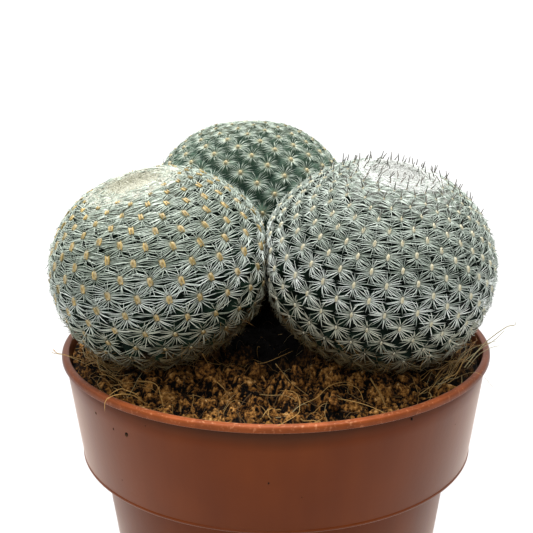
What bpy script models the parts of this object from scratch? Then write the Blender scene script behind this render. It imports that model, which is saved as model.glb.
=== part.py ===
"""Potted Mammillaria haageana: three globular heads in the soil of one round nursery pot.

Sizes are in millimetres and are turned into metres where a mesh is made. The origin is the middle of the
pot's flat base, and the front of the pot faces -Y.
"""
import math
from collections import namedtuple

import bmesh
import bpy
import numpy as np
from mathutils import Vector

MM = 0.001
GAP = 0.3            # play between two pieces that touch

# The pot: radii and heights of its outside, with a stepped-out collar under a rounded lip
POT_HEIGHT = 89.7
LIP_RADIUS = 52.7
LIP_HEIGHT = 1.6
RIM_INNER_RADIUS = 50.9
COLLAR_TOP_RADIUS = 51.6
COLLAR_FOOT_RADIUS = 48.7
COLLAR_HEIGHT = 26.8
BODY_TOP_RADIUS = 43.9
BASE_RADIUS = 36.0
WALL = 1.1
POT_SIDES = 36
DRAIN_HOLES = 8
DRAIN_RADIUS = 3.6
DRAIN_RING = 25.0

# The soil: how far its top lies under the rim, how it rises to each plant, and its crumbly relief
SOIL_DROP = 3.3
SOIL_EDGE_DROP = 5.3
SOIL_RISE = 8.0
SOIL_RISE_REACH = 17.0
CRUMB_HEIGHT = 1.45
CRUMB_WAVES = (
    (0.62, 0.21, 0.3), (-0.38, 0.71, 1.9), (0.27, -0.55, 4.1), (0.83, 0.47, 2.2), (-0.74, -0.16, 5.3),
)
SOIL_RINGS = 8
UNDERSIDE_LEVEL = 0.965  # the bare tubercles under a ball, as a share of the ball that the spine tips reach
UNDER_BALL = 0.5     # air between them and the soil
SOCKET_SIDES = 16
SOCKET_TURN = 0.34   # radians, which keeps the socket's corners off the soil's edges

# The plants: what is alike on all three
TIP_LEVEL = 0.945    # tubercle tips, as a share of the ball that the spine tips reach
VALLEY_LEVEL = 0.87  # grooves between the tubercles
CROWN_VALLEY = 0.925  # the same on the woolly crown
CROWN_LEVEL = 0.95
TOP_RADIUS = 0.75    # flat top of a tubercle, which the spines stand on
STUB_HEIGHT = 0.7    # central spines, seen as one stub
SPINE_LENGTH = 3.7
SPINE_RISE = 10.0    # degrees from the skin
SPINE_RISE_CROWN = 40.0
CROWN_LEAN = (25.0, 55.0)  # degrees from the crown between which the spines lie down
SPINE_TURNS = (0.0, 14.0, -14.0, 28.0, -28.0)  # ways to turn a spine that would meet another, in degrees
SPINE_LIFTS = (0.0, 9.0, 18.0)
SPINE_OVER_SOIL = 1.5
CROWN_EDGE = 28.5    # degrees from the crown within which there are only upright young spines
SPINE_HALF_WIDTH = 0.45
SPINE_CLEARANCE = 0.3
LOWEST_SPINES = 105.0   # degrees from the crown, past which a tubercle stays bare
LOWEST_TUBERCLE = 148.0
PRESS_REACH = 3.0    # how deep two heads that touch flatten each other
PRESS_GAP = 0.45
NECK_RADIUS = 8.6
NECK_SIDES = 10
NECK_DEPTH = 14.7    # under the rim
NECK_START = 159.0   # degrees from the crown
NECK_END = 168.0
FIRST_TUBERCLE, LAST_TUBERCLE = -80, 500

# One plant: middle of its ball over the pot's base, half width, half height along its own axis, the lean of
# that axis, the way its spirals turn, the bearing of tubercle 0, the turn from each tubercle to the next,
# the angle from the crown of tubercle k, which is start + pace * k/300 + droop * (k/300)^3, and how far the
# young spines stand up round the crown
Head = namedtuple("Head", "name x y z half_width half_height lean_x lean_y "
                          "turn bearing step start pace droop spike")
HEADS = (
    Head("head_left", -26.6, -15.5, 112.4, 25.2, 22.7, -0.252, -0.106,
         1, 213.4, 99.52, 29.9, 102.5, 40.4, 1.2),
    Head("head_right", 24.0, -14.5, 112.5, 26.8, 24.3, 0.176, -0.129,
         -1, 4.7, 99.53, 28.5, 76.1, 17.5, 3.2),
    Head("head_back", -6.8, 32.5, 112.9, 28.0, 25.8, -0.03, 0.325,
         -1, 228.9, 99.53, 8.7, 111.6, -3.3, 1.6),
)
PACE_SPAN = 300.0
CROWN_START = 11.0   # degrees from the crown where the tubercles begin

# Colour, roughness
PLASTIC = ((0.27, 0.085, 0.042), 0.38)
SOIL_BROWN = ((0.060, 0.033, 0.016), 0.95)
HEAD_FINISH = {
    "head_left": ((0.30, 0.36, 0.30), 0.7),
    "head_right": ((0.36, 0.41, 0.36), 0.7),
    "head_back": ((0.22, 0.30, 0.22), 0.7),
}


def clear_scene():
    for item in list(bpy.data.objects):
        bpy.data.objects.remove(item, do_unlink=True)


def finish(name, colour, roughness):
    material = bpy.data.materials.new(name)
    material.use_nodes = True
    shader = material.node_tree.nodes["Principled BSDF"]
    shader.inputs["Base Color"].default_value = (*colour, 1.0)
    shader.inputs["Roughness"].default_value = roughness
    return material


def add_solid(name, corners, faces, colour, roughness):
    """One object from corners in millimetres and faces that wind anticlockwise seen from outside."""
    mesh = bpy.data.meshes.new(name)
    mesh.from_pydata([tuple(float(value) * MM for value in corner) for corner in corners], [], faces)
    mesh.validate()
    mesh.materials.append(finish(name, colour, roughness))
    solid = bpy.data.objects.new(name, mesh)
    bpy.context.scene.collection.objects.link(solid)
    return solid


def drill(solid, cutters):
    """Cuts the cutters out of the solid and removes them."""
    for number, cutter in enumerate(cutters):
        cut = solid.modifiers.new(f"hole_{number}", "BOOLEAN")
        cut.operation = "DIFFERENCE"
        cut.solver = "EXACT"
        cut.object = cutter
    bpy.context.view_layer.update()
    whole = bpy.data.meshes.new_from_object(solid.evaluated_get(bpy.context.evaluated_depsgraph_get()))
    solid.modifiers.clear()
    solid.data = whole
    for cutter in cutters:
        bpy.data.objects.remove(cutter, do_unlink=True)


def rod(name, x, y, low, high, radius, sides, turn=0.0):
    """An upright prism, used to drill a hole."""
    ring = [(x + radius * math.cos(turn + math.tau * side / sides),
             y + radius * math.sin(turn + math.tau * side / sides)) for side in range(sides)]
    corners = [(*point, low) for point in ring] + [(*point, high) for point in ring]
    walls = [(side, (side + 1) % sides, sides + (side + 1) % sides, sides + side) for side in range(sides)]
    faces = walls + [tuple(reversed(range(sides))), tuple(range(sides, 2 * sides))]
    return add_solid(name, corners, faces, *PLASTIC)


# The pot

def body_radius(height):
    """Outside radius of the tapered body, from its base to the step under the collar."""
    return BASE_RADIUS + (BODY_TOP_RADIUS - BASE_RADIUS) * height / (POT_HEIGHT - COLLAR_HEIGHT)


def collar_inner_radius(height):
    """Inside radius of the collar, from the step to the rim."""
    share = (height - (POT_HEIGHT - COLLAR_HEIGHT)) / COLLAR_HEIGHT
    return COLLAR_FOOT_RADIUS - WALL + (RIM_INNER_RADIUS - COLLAR_FOOT_RADIUS + WALL) * share


def pot_profile():
    """Radius and height from the middle of the base, up the outside and down the inside."""
    step = POT_HEIGHT - COLLAR_HEIGHT
    lip_foot = POT_HEIGHT - LIP_HEIGHT
    outside = [
        (BASE_RADIUS - 0.8, 0.0),
        (BASE_RADIUS, 0.8),
        (BODY_TOP_RADIUS, step - 0.9),
        (BODY_TOP_RADIUS + 0.6, step - 0.1),
        (COLLAR_FOOT_RADIUS - 1.3, step),
        (COLLAR_FOOT_RADIUS - 0.3, step + 0.5),
        (COLLAR_FOOT_RADIUS, step + 1.4),
        (COLLAR_TOP_RADIUS, lip_foot - 0.5),
        (LIP_RADIUS - 0.3, lip_foot),
        (LIP_RADIUS, lip_foot + 0.4),
        (LIP_RADIUS, POT_HEIGHT - 0.6),
        (LIP_RADIUS - 0.5, POT_HEIGHT - 0.1),
    ]
    inside = [
        (RIM_INNER_RADIUS + 0.5, POT_HEIGHT),
        (RIM_INNER_RADIUS, POT_HEIGHT - 0.5),
        (COLLAR_FOOT_RADIUS - WALL, step + 1.7),
        (COLLAR_FOOT_RADIUS - WALL - 1.2, step + WALL),
        (BODY_TOP_RADIUS - WALL + 0.6, step + WALL),
        (BODY_TOP_RADIUS - WALL, step),
        (body_radius(WALL) - WALL, WALL + 0.8),
        (body_radius(WALL) - WALL - 0.8, WALL),
    ]
    return outside + inside


def turned(profile, first_height, last_height):
    """Corners and faces of a profile turned round the pot's axis, closed by a middle point at each end."""
    corners = []
    for radius, height in profile:
        for side in range(POT_SIDES):
            angle = math.tau * side / POT_SIDES
            corners.append((radius * math.cos(angle), radius * math.sin(angle), height))
    first, last = len(corners), len(corners) + 1
    corners += [(0.0, 0.0, first_height), (0.0, 0.0, last_height)]
    faces = []
    for side in range(POT_SIDES):
        follow = (side + 1) % POT_SIDES
        for low in range(0, first - POT_SIDES, POT_SIDES):
            high = low + POT_SIDES
            faces.append((low + side, low + follow, high + follow, high + side))
        faces.append((first, follow, side))
        faces.append((last, first - POT_SIDES + side, first - POT_SIDES + follow))
    return corners, faces


def make_pot():
    corners, faces = turned(pot_profile(), 0.0, WALL)
    pot = add_solid("pot", corners, faces, *PLASTIC)
    holes = []
    for number in range(DRAIN_HOLES):
        angle = math.tau * (number + 0.5) / DRAIN_HOLES
        x, y = DRAIN_RING * math.cos(angle), DRAIN_RING * math.sin(angle)
        holes.append(rod(f"drain_{number}", x, y, -1.0, WALL + 1.0, DRAIN_RADIUS, 10, angle))
    drill(pot, holes)


# The ball of a plant

def axes_of(head):
    """Half axes of the ball: two across and one from its foot to its crown."""
    up = Vector((head.lean_x, head.lean_y, math.sqrt(1.0 - head.lean_x ** 2 - head.lean_y ** 2)))
    across = (Vector((1.0, 0.0, 0.0)) - up * up.x).normalized()
    other = up.cross(across)
    return np.array([across * head.half_width, other * head.half_width, up * head.half_height])


def middle_of(head):
    return np.array([head.x, head.y, head.z])


def neck_of(head):
    """Where the neck stands in the soil: under the foot of the ball."""
    foot = middle_of(head) - axes_of(head)[2] * 0.9
    return foot[0], foot[1]


def underside(head, x, y):
    """Height of the ball's lower face over a point of the soil, or None outside its shadow."""
    inverse = np.linalg.inv(axes_of(head).T * UNDERSIDE_LEVEL)
    start = inverse @ (np.array([x, y, 0.0]) - middle_of(head))
    along = inverse @ np.array([0.0, 0.0, 1.0])
    a, b, c = along @ along, start @ along, start @ start - 1.0
    inside = b * b - a * c
    if inside <= 0.0:
        return None
    return (-b - math.sqrt(inside)) / a


def walls_between(head):
    """The planes where this head meets the others: a point on each and its direction away from the head."""
    walls = []
    for other in HEADS:
        if other.name == head.name:
            continue
        way = middle_of(other) - middle_of(head)
        apart = np.linalg.norm(way)
        reach = (apart + (head.half_width ** 2 - other.half_width ** 2) / apart) / 2.0
        way = way / apart
        walls.append((middle_of(head) + way * reach, way))
    return walls


def pressed(point, walls):
    """Squeezes a point softly back from the planes where the heads meet."""
    for place, way in walls:
        depth = (point - place) @ way
        if depth > -PRESS_REACH:
            room = PRESS_REACH - PRESS_GAP
            eased = -PRESS_GAP - room * math.exp(-(depth + PRESS_REACH) / room)
            point = point + way * (eased - depth)
    return point


def direction_at(angle, bearing):
    """A direction on a unit ball, at so many degrees from the crown and a bearing in radians."""
    polar = math.radians(angle)
    return math.sin(polar) * math.cos(bearing), math.sin(polar) * math.sin(bearing), math.cos(polar)


def tubercle_angle(head, number):
    share = number / PACE_SPAN
    return head.start + head.pace * share + head.droop * share ** 3


def spiral(head):
    """Directions of the tubercles on a unit ball, in the order that they grew, and their crown angles."""
    directions, angles = [], []
    for number in range(FIRST_TUBERCLE, LAST_TUBERCLE):
        angle = tubercle_angle(head, number)
        if CROWN_START < angle < LOWEST_TUBERCLE:
            bearing = math.radians(head.bearing + head.turn * number * head.step)
            directions.append(direction_at(angle, bearing))
            angles.append(angle)
    return directions, angles


def ring_directions(angle, count):
    """Directions evenly round the ball's axis, at one angle from the crown."""
    return [direction_at(angle, math.tau * step / count) for step in range(count)]


def groove_level(direction):
    """Depth of the grooves: shallow in the wool of the crown, and full depth past it."""
    angle = math.degrees(math.acos(max(-1.0, min(1.0, direction[2]))))
    return np.interp(angle, (CROWN_START, CROWN_EDGE), (CROWN_VALLEY, VALLEY_LEVEL))


def hull_triangles(directions):
    """Triangles between neighbouring directions, as corner numbers that wind anticlockwise from outside."""
    ball = bmesh.new()
    order = {}
    for number, direction in enumerate(directions):
        order[ball.verts.new(direction)] = number
    bmesh.ops.convex_hull(ball, input=ball.verts)
    bmesh.ops.triangulate(ball, faces=ball.faces)
    triangles = []
    for face in ball.faces:
        corners = [order[vert] for vert in face.verts]
        a, b, c = (np.array(directions[corner]) for corner in corners)
        if np.cross(b - a, c - a) @ (a + b + c) < 0.0:
            corners.reverse()
        triangles.append(tuple(corners))
    ball.free()
    return triangles


def fans_of(triangles, grooved):
    """The loop of grooves round each direction, and the triangles that touch no tubercle or border one."""
    left_of = {}
    for number, (a, b, c) in enumerate(triangles):
        left_of[a, b] = left_of[b, c] = left_of[c, a] = number
    follow, plain = {}, []
    for (a, b), left in left_of.items():
        right = left_of[b, a]
        if left in grooved and right in grooved:
            follow.setdefault(a, {})[right] = left
        elif left in grooved:
            plain.append((a, b, left))
    return follow, plain


def loop_of(steps):
    """The grooves round one tubercle, in order."""
    loop = [next(iter(steps))]
    while len(loop) < len(steps):
        loop.append(steps[loop[-1]])
    return loop


class Spines:
    """Every spine placed so far, so that a new one can be turned clear of them."""

    def __init__(self):
        self.roots = np.zeros((0, 3))
        self.tips = np.zeros((0, 3))
        self.owners = np.zeros(0, int)

    def owner_of(self, head, number):
        """A number for one tubercle, whose own spines may meet at their roots."""
        return HEADS.index(head) * 1000 + number

    def is_clear(self, root, tip, owner):
        if len(self.roots) == 0:
            return True
        near = (np.linalg.norm(self.roots - root, axis=1) < 2.5 * SPINE_LENGTH) & (self.owners != owner)
        roots, tips = self.roots[near], self.tips[near]
        if len(roots) == 0:
            return True
        ways = tips - roots
        lengths = np.einsum("ij,ij->i", ways, ways)
        for share in np.linspace(0.0, 1.0, 8):
            point = root + (tip - root) * share
            along = np.clip(np.einsum("ij,ij->i", point - roots, ways) / lengths, 0.0, 1.0)
            distance = np.linalg.norm(roots + ways * along[:, None] - point, axis=1)
            needed = SPINE_CLEARANCE + SPINE_HALF_WIDTH * ((1.0 - share) + (1.0 - along))
            if np.any(distance < needed):
                return False
        return True

    def add(self, root, tip, owner):
        self.roots = np.vstack([self.roots, root])
        self.tips = np.vstack([self.tips, tip])
        self.owners = np.append(self.owners, owner)


def over_soil_and_rim(tip):
    """True where a spine tip is well clear of the soil and the pot's rim."""
    radius = math.hypot(tip[0], tip[1])
    if radius > RIM_INNER_RADIUS - SPINE_OVER_SOIL:
        return tip[2] > POT_HEIGHT + SPINE_OVER_SOIL
    return tip[2] > soil_height(tip[0], tip[1]) + SPINE_OVER_SOIL


def stand_spine(spines, top, edge, out, way, rise, walls, owner):
    """The tip of a spine from one edge of a tubercle's top, or None where it would meet another piece."""
    root = (edge[0] + edge[1] + top) / 3.0
    side = np.cross(out, way)
    for turn in SPINE_TURNS:
        for lift in SPINE_LIFTS:
            heading = way * math.cos(math.radians(turn)) + side * math.sin(math.radians(turn))
            angle = math.radians(rise + lift)
            tip = top + SPINE_LENGTH * (heading * math.cos(angle) + out * math.sin(angle))
            tip = pressed(tip, walls)
            if (tip - top) @ out < 0.3 or not over_soil_and_rim(tip):
                continue
            if spines.is_clear(root, tip, owner):
                spines.add(root, tip, owner)
                return tip
    return None


class HeadMesh:
    """Corners and faces of one head."""

    def __init__(self, head):
        self.head = head
        self.axes = axes_of(head)
        self.middle = middle_of(head)
        self.walls = walls_between(head)
        self.corners = []
        self.faces = []

    def on_ball(self, direction, level):
        return pressed(self.middle + (np.array(direction) * level) @ self.axes, self.walls)

    def outward(self, direction):
        """The skin's normal at a direction."""
        normal = np.array(direction) @ np.linalg.inv(self.axes).T
        return normal / np.linalg.norm(normal)

    def corner(self, place):
        self.corners.append(place)
        return len(self.corners) - 1

    def fan(self, centre, loop):
        for step, groove in enumerate(loop):
            self.faces.append((centre, groove, loop[(step + 1) % len(loop)]))

    def tubercle(self, direction, angle, loop, number, spines):
        """A tubercle with three radial spines in a star round its stub."""
        out = self.outward(direction)
        top = self.on_ball(direction, TIP_LEVEL)
        up_hill = self.axes[2] - out * (self.axes[2] @ out)
        up_hill = up_hill / np.linalg.norm(up_hill)
        side = np.cross(out, up_hill)
        first = 90.0 + 60.0 * (number % 2)
        ring = []
        for step in range(3):
            bearing = math.radians(first + 120.0 * step - 60.0)
            way = up_hill * math.cos(bearing) + side * math.sin(bearing)
            ring.append(self.corner(pressed(top + way * TOP_RADIUS - out * 0.25, self.walls)))
        stub = self.corner(top + out * STUB_HEIGHT)
        self.skirt(loop, ring, top, up_hill, side)
        rise = np.interp(angle, CROWN_LEAN, (SPINE_RISE_CROWN, SPINE_RISE))
        owner = spines.owner_of(self.head, number)
        for step in range(3):
            bearing = math.radians(first + 120.0 * step)
            way = up_hill * math.cos(bearing) + side * math.sin(bearing)
            a, b = ring[step], ring[(step + 1) % 3]
            edge = (self.corners[a], self.corners[b])
            tip = stand_spine(spines, top, edge, out, way, rise, self.walls, owner)
            if tip is None:
                self.faces.append((a, b, stub))
            else:
                self.fan(self.corner(tip), [a, b, stub])

    def skirt(self, loop, ring, top, up_hill, side):
        """The sides of a tubercle, from the grooves round it to the rim of its top."""
        def bearing_of(corner):
            offset = self.corners[corner] - top
            return math.atan2(offset @ side, offset @ up_hill)

        outer = sorted((bearing_of(corner), corner) for corner in loop)
        inner = sorted((bearing_of(corner), corner) for corner in ring)
        outer.append((outer[0][0] + math.tau, outer[0][1]))
        inner.append((inner[0][0] + math.tau, inner[0][1]))
        i = j = 0
        while i < len(outer) - 1 or j < len(inner) - 1:
            step_outer = j == len(inner) - 1 or (i < len(outer) - 1 and outer[i + 1][0] <= inner[j + 1][0])
            if step_outer:
                self.faces.append((outer[i][1], outer[i + 1][1], inner[j][1]))
                i += 1
            else:
                self.faces.append((outer[i][1], inner[j + 1][1], inner[j][1]))
                j += 1


def make_head(head, spines):
    build = HeadMesh(head)
    tubercles, angles = spiral(head)
    crown = [(0.0, 0.0, 1.0)]
    neck = ring_directions(NECK_START, NECK_SIDES) + ring_directions(NECK_END, NECK_SIDES)
    directions = tubercles + crown + neck + [(0.0, 0.0, -1.0)]
    grown = len(tubercles)
    crown_end = grown + len(crown)
    triangles = hull_triangles(directions)
    grooved = {number for number, triangle in enumerate(triangles) if min(triangle) < crown_end}
    groove = {}
    for number in sorted(grooved):
        middle = sum(np.array(directions[corner]) for corner in triangles[number])
        middle = middle / np.linalg.norm(middle)
        groove[number] = build.corner(build.on_ball(middle, groove_level(middle)))

    # The neck: a ring where it leaves the ball, then a ring and a middle point at its end in the soil
    foot_x, foot_y = neck_of(head)
    foot_z = POT_HEIGHT - NECK_DEPTH
    corner_of = {}
    for step in range(NECK_SIDES):
        first = crown_end + step
        place = build.on_ball(directions[first], VALLEY_LEVEL)
        offset = place[:2] - (foot_x, foot_y)
        reach = np.linalg.norm(offset)
        upper = (foot_x, foot_y) + offset * min(1.0, NECK_RADIUS / reach)
        lower = (foot_x, foot_y) + offset * NECK_RADIUS / reach
        corner_of[first] = build.corner(np.array([*upper, place[2]]))
        corner_of[first + NECK_SIDES] = build.corner(np.array([*lower, foot_z]))
    corner_of[len(directions) - 1] = build.corner(np.array([foot_x, foot_y, foot_z]))

    follow, plain = fans_of(triangles, grooved)
    for number, triangle in enumerate(triangles):
        if number not in grooved:
            build.faces.append(tuple(corner_of[corner] for corner in triangle))
    for a, b, left in plain:
        build.faces.append((corner_of[a], corner_of[b], groove[left]))
    for corner, steps in follow.items():
        if corner >= crown_end:
            for right, left in steps.items():
                build.faces.append((corner_of[corner], groove[right], groove[left]))
            continue
        loop = [groove[number] for number in loop_of(steps)]
        if corner >= grown:
            build.fan(build.corner(build.on_ball(directions[corner], CROWN_LEVEL)), loop)
        elif angles[corner] < CROWN_EDGE:
            height = head.spike * (angles[corner] / CROWN_EDGE) ** 2
            spike = build.on_ball(directions[corner], TIP_LEVEL) + build.outward(directions[corner]) * height
            build.fan(build.corner(spike), loop)
        elif angles[corner] > LOWEST_SPINES:
            build.fan(build.corner(build.on_ball(directions[corner], TIP_LEVEL)), loop)
        else:
            build.tubercle(directions[corner], angles[corner], loop, corner, spines)
    return add_solid(head.name, build.corners, build.faces, *HEAD_FINISH[head.name])


# The soil

def crumbs(x, y):
    """Relief of the soil, from -1 to 1: lumps of about a centimetre, from waves that cross at odd angles."""
    heights = [math.sin(across * x + along * y + phase) for across, along, phase in CRUMB_WAVES]
    return sum(heights) / len(heights)


def soil_height(x, y):
    """Height of the soil's top: lowest at the wall, drawn up to each plant, and clear under each ball."""
    height = POT_HEIGHT - SOIL_DROP + CRUMB_HEIGHT * crumbs(x, y)
    for head in HEADS:
        neck_x, neck_y = neck_of(head)
        away = math.hypot(x - neck_x, y - neck_y)
        height += SOIL_RISE * math.exp(-((away / SOIL_RISE_REACH) ** 2))
    for head in HEADS:
        under = underside(head, x, y)
        if under is not None:
            height = min(height, under - UNDER_BALL)
    return height


def make_soil():
    """The fill of the pot, 0.3 mm clear of its wall, with a socket for the neck of each plant."""
    step = POT_HEIGHT - COLLAR_HEIGHT
    edge_height = POT_HEIGHT - SOIL_EDGE_DROP
    edge_radius = collar_inner_radius(edge_height) - 1.5 * GAP
    profile = [
        (body_radius(WALL) - WALL - 1.1, WALL + GAP),
        (body_radius(WALL) - WALL - GAP, WALL + 1.3),
        (BODY_TOP_RADIUS - WALL - GAP - 0.1, step + 0.2),
        (BODY_TOP_RADIUS - WALL + 0.4, step + WALL + GAP),
        (COLLAR_FOOT_RADIUS - WALL - 1.5, step + WALL + GAP),
        (COLLAR_FOOT_RADIUS - WALL - GAP, step + 2.1),
        (edge_radius, edge_height),
    ]
    wall_corners = len(profile) * POT_SIDES
    for ring in range(SOIL_RINGS):
        profile.append((edge_radius * (1.0 - (ring + 0.35) / (SOIL_RINGS + 0.35)), 0.0))
    corners, faces = turned(profile, WALL + GAP, 0.0)
    middle_of_base = len(corners) - 2
    for number, (x, y, _) in enumerate(corners):
        if number >= wall_corners and number != middle_of_base:
            corners[number] = (x, y, soil_height(x, y))
    soil = add_solid("soil", corners, faces, *SOIL_BROWN)
    sockets = []
    for head in HEADS:
        x, y = neck_of(head)
        sockets.append(rod(f"socket_{head.name}", x, y, POT_HEIGHT - NECK_DEPTH - GAP, POT_HEIGHT + 20.0,
                           NECK_RADIUS + 1.6 * GAP, SOCKET_SIDES, SOCKET_TURN))
    drill(soil, sockets)


def main():
    clear_scene()
    make_pot()
    make_soil()
    spines = Spines()
    for head in HEADS:
        make_head(head, spines)


main()
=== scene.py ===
"""Looks for the potted Mammillaria haageana: three spiny heads in the soil of a red-brown nursery pot."""
import math
from collections import namedtuple

import bpy
import numpy as np
from mathutils import Matrix, Vector, noise
from mathutils.kdtree import KDTree


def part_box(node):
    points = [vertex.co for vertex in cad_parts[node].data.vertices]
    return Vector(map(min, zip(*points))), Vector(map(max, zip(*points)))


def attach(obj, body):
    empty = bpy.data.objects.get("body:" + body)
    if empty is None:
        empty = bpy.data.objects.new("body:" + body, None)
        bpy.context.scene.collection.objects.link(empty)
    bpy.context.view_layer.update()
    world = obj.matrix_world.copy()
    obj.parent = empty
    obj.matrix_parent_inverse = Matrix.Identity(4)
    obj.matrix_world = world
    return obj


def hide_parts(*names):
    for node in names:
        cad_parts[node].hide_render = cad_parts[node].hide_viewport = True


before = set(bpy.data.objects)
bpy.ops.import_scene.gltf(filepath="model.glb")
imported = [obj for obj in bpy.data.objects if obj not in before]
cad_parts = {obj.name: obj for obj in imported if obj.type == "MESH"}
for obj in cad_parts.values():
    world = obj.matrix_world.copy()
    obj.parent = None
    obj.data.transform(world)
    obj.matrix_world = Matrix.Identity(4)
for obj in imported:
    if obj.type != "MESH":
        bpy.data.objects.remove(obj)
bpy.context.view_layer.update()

noise.seed_set(5)    # unset, noise vectors would be drawn anew at each run

# Lengths are in millimetres and angles in degrees, unless a line says otherwise
MM = 0.001
BODY = "root"

# The pot: its size from the frame, and the rest from the same drawing as the CAD pot
pot_low, pot_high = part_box("pot")
POT_HEIGHT = (pot_high.z - pot_low.z) / MM
LIP_RADIUS = (pot_high.x - pot_low.x) / 2 / MM
LIP_FOOT = POT_HEIGHT - 1.6
RIM_INNER_RADIUS = LIP_RADIUS - 1.8
COLLAR_TOP_RADIUS = LIP_RADIUS - 1.1
COLLAR_FOOT_RADIUS = LIP_RADIUS - 4.0
COLLAR_HEIGHT = 26.8
STEP_HEIGHT = POT_HEIGHT - COLLAR_HEIGHT
BODY_TOP_RADIUS = LIP_RADIUS - 8.8
BASE_RADIUS = LIP_RADIUS - 16.7
WALL = 1.1
BASE_ROUND, STEP_ROUND, COLLAR_ROUND = 1.0, 0.6, 0.5
LIP_UNDER_ROUND, LIP_ROUND, RIM_ROUND = 0.25, 0.9, 0.5
INNER_ROUND, INNER_STEP_ROUND = 0.8, 0.7
POT_STEPS = 144
DRAIN_HOLES = 8
DRAIN_RADIUS = 3.6
DRAIN_RING = 25.0
LIP_WEAR_AND_HIGHLIGHT, EDGE_HIGHLIGHT = 0.75, 1.5    # the lip's front painted lighter, a painted highlight with rubbed wear, and the painted highlight along its top edge

# The soil
PLAY = 0.3             # between the soil and the pot
SOIL_DROP = 3.3
SOIL_EDGE_DROP = 5.3
SOIL_EDGE = 49.6       # no root reaches further out
SOIL_RISE = 8.0        # how far the soil is drawn up to each plant
SOIL_RISE_REACH = 17.0
SOIL_WAVE = 1.45
SOIL_WAVES = (
    (0.62, 0.21, 0.3), (-0.38, 0.71, 1.9), (0.27, -0.55, 4.1), (0.83, 0.47, 2.2), (-0.74, -0.16, 5.3),
)
SOIL_DRIFT = 1.6       # how much higher the soil lies against the wall on either side
DRIFT_SPREAD = (12.0, 18.0)
DRIFTS = ((-46.0, -14.0), (47.0, -12.0))
UNDERSIDE_LEVEL = 0.965
UNDER_BALL = 0.5
SOIL_STEPS = 680
CLOD, CRUMB, GRAIN = 5.6, 1.15, 0.7
CRUMB_MODELS = 10
LOOSE_CRUMBS = 3000

# Dark patches at the sides, painted shade with damp soil: middle, reach, and how dark they get
SHADE_AND_DAMP_PATCHES = ((-44.0, -12.0, 20.0, 0.35), (45.0, -10.0, 23.0, 0.75))

# Clods that lie on the soil: place and half their width
CLODS = (
    (-8.0, -18.5, 2.6), (5.5, -27.0, 2.4), (24.0, -30.0, 2.8), (12.5, -38.0, 2.2), (17.0, -37.0, 1.9),
    (-16.0, -27.0, 1.8), (-4.5, -23.0, 1.9), (1.0, -24.0, 1.6), (30.0, -34.0, 1.9), (-20.0, -36.0, 1.5),
    (35.0, 20.0, 2.4), (-38.0, 18.0, 2.2), (40.0, 8.0, 1.8), (-30.0, 34.0, 1.7),
)

# The plants: levels are shares of the ball that the spine tips reach
TIP_LEVEL = 0.972
VALLEY_LEVEL = 0.85
CROWN_VALLEY = 0.925
CROWN_START = 11.0
CROWN_EDGE = 28.5
NECK_START = 158.0     # the ball narrows to its neck past this angle from the crown
NECK_DROP = 8.7
PRESS_REACH = 1.6      # flesh nearer than this to the plane where two heads meet is pressed back
PRESS_GAP = 0.2        # and stays this far from it
SWELL = 1.2            # how far a ball bulges where it meets another
SWELL_REACH = 7.0
SWELL_HEIGHTS = (99.0, 110.0)    # the bulge starts and is full at these heights
SPINE_OVERLAP = 3.0    # spines may cross that plane by this much
CROWDING = 0.7         # mean of the chance distance past it at which a spine is left out
LOWEST_SPINES = 146.0
LOWEST_AREOLES = 124.0
DEAD_HAIRS = 800
PACE_SPAN = 300.0

# One plant: middle of its ball over the pot's base, half width, half height along its own axis, the lean of
# that axis, the way its spirals turn, the bearing of tubercle 0, the turn from each tubercle to the next,
# the angle from the crown of tubercle k, which is start + pace * k/300 + droop * (k/300)^3, the fullness of
# the shoulder round the crown, the angle at which the bowl of the crown ends, and the spines' length
Head = namedtuple("Head", "name x y z half_width half_height lean_x lean_y "
                          "turn bearing step start pace droop shoulder bowl spine_length")
HEADS = (
    Head("head_left", -26.6, -15.5, 112.4, 25.2, 22.7, -0.252, -0.106,
         1, 213.4, 99.52, 29.9, 102.5, 40.4, 0.045, 20.0, 4.0),
    Head("head_right", 24.0, -14.5, 112.5, 26.8, 24.3, 0.176, -0.129,
         -1, 4.7, 99.53, 28.5, 76.1, 17.5, 0.026, 17.0, 3.3),
    Head("head_back", -6.8, 32.5, 112.9, 28.0, 25.8, -0.03, 0.325,
         -1, 228.9, 99.53, 8.7, 111.6, -3.3, 0.060, 14.0, 3.4),
)

# The radial spines of one areole: how far inside the bowl's edge they begin, how many stand in each comb and
# how many point up and down, how far the combs open high and low on the ball, their bow towards the sideways
# line, the length of the youngest and the oldest, the share missing near the crown, the length of those that
# point up and down, how far spines stand off the ball and how far their tips fall back, half the height and
# width of the areole, widths along a spine, and the shares of its length at which it bends
Fan = namedtuple("Fan", "inward comb few spread bow young old sparse upright lift fall oval widths joints")
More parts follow.
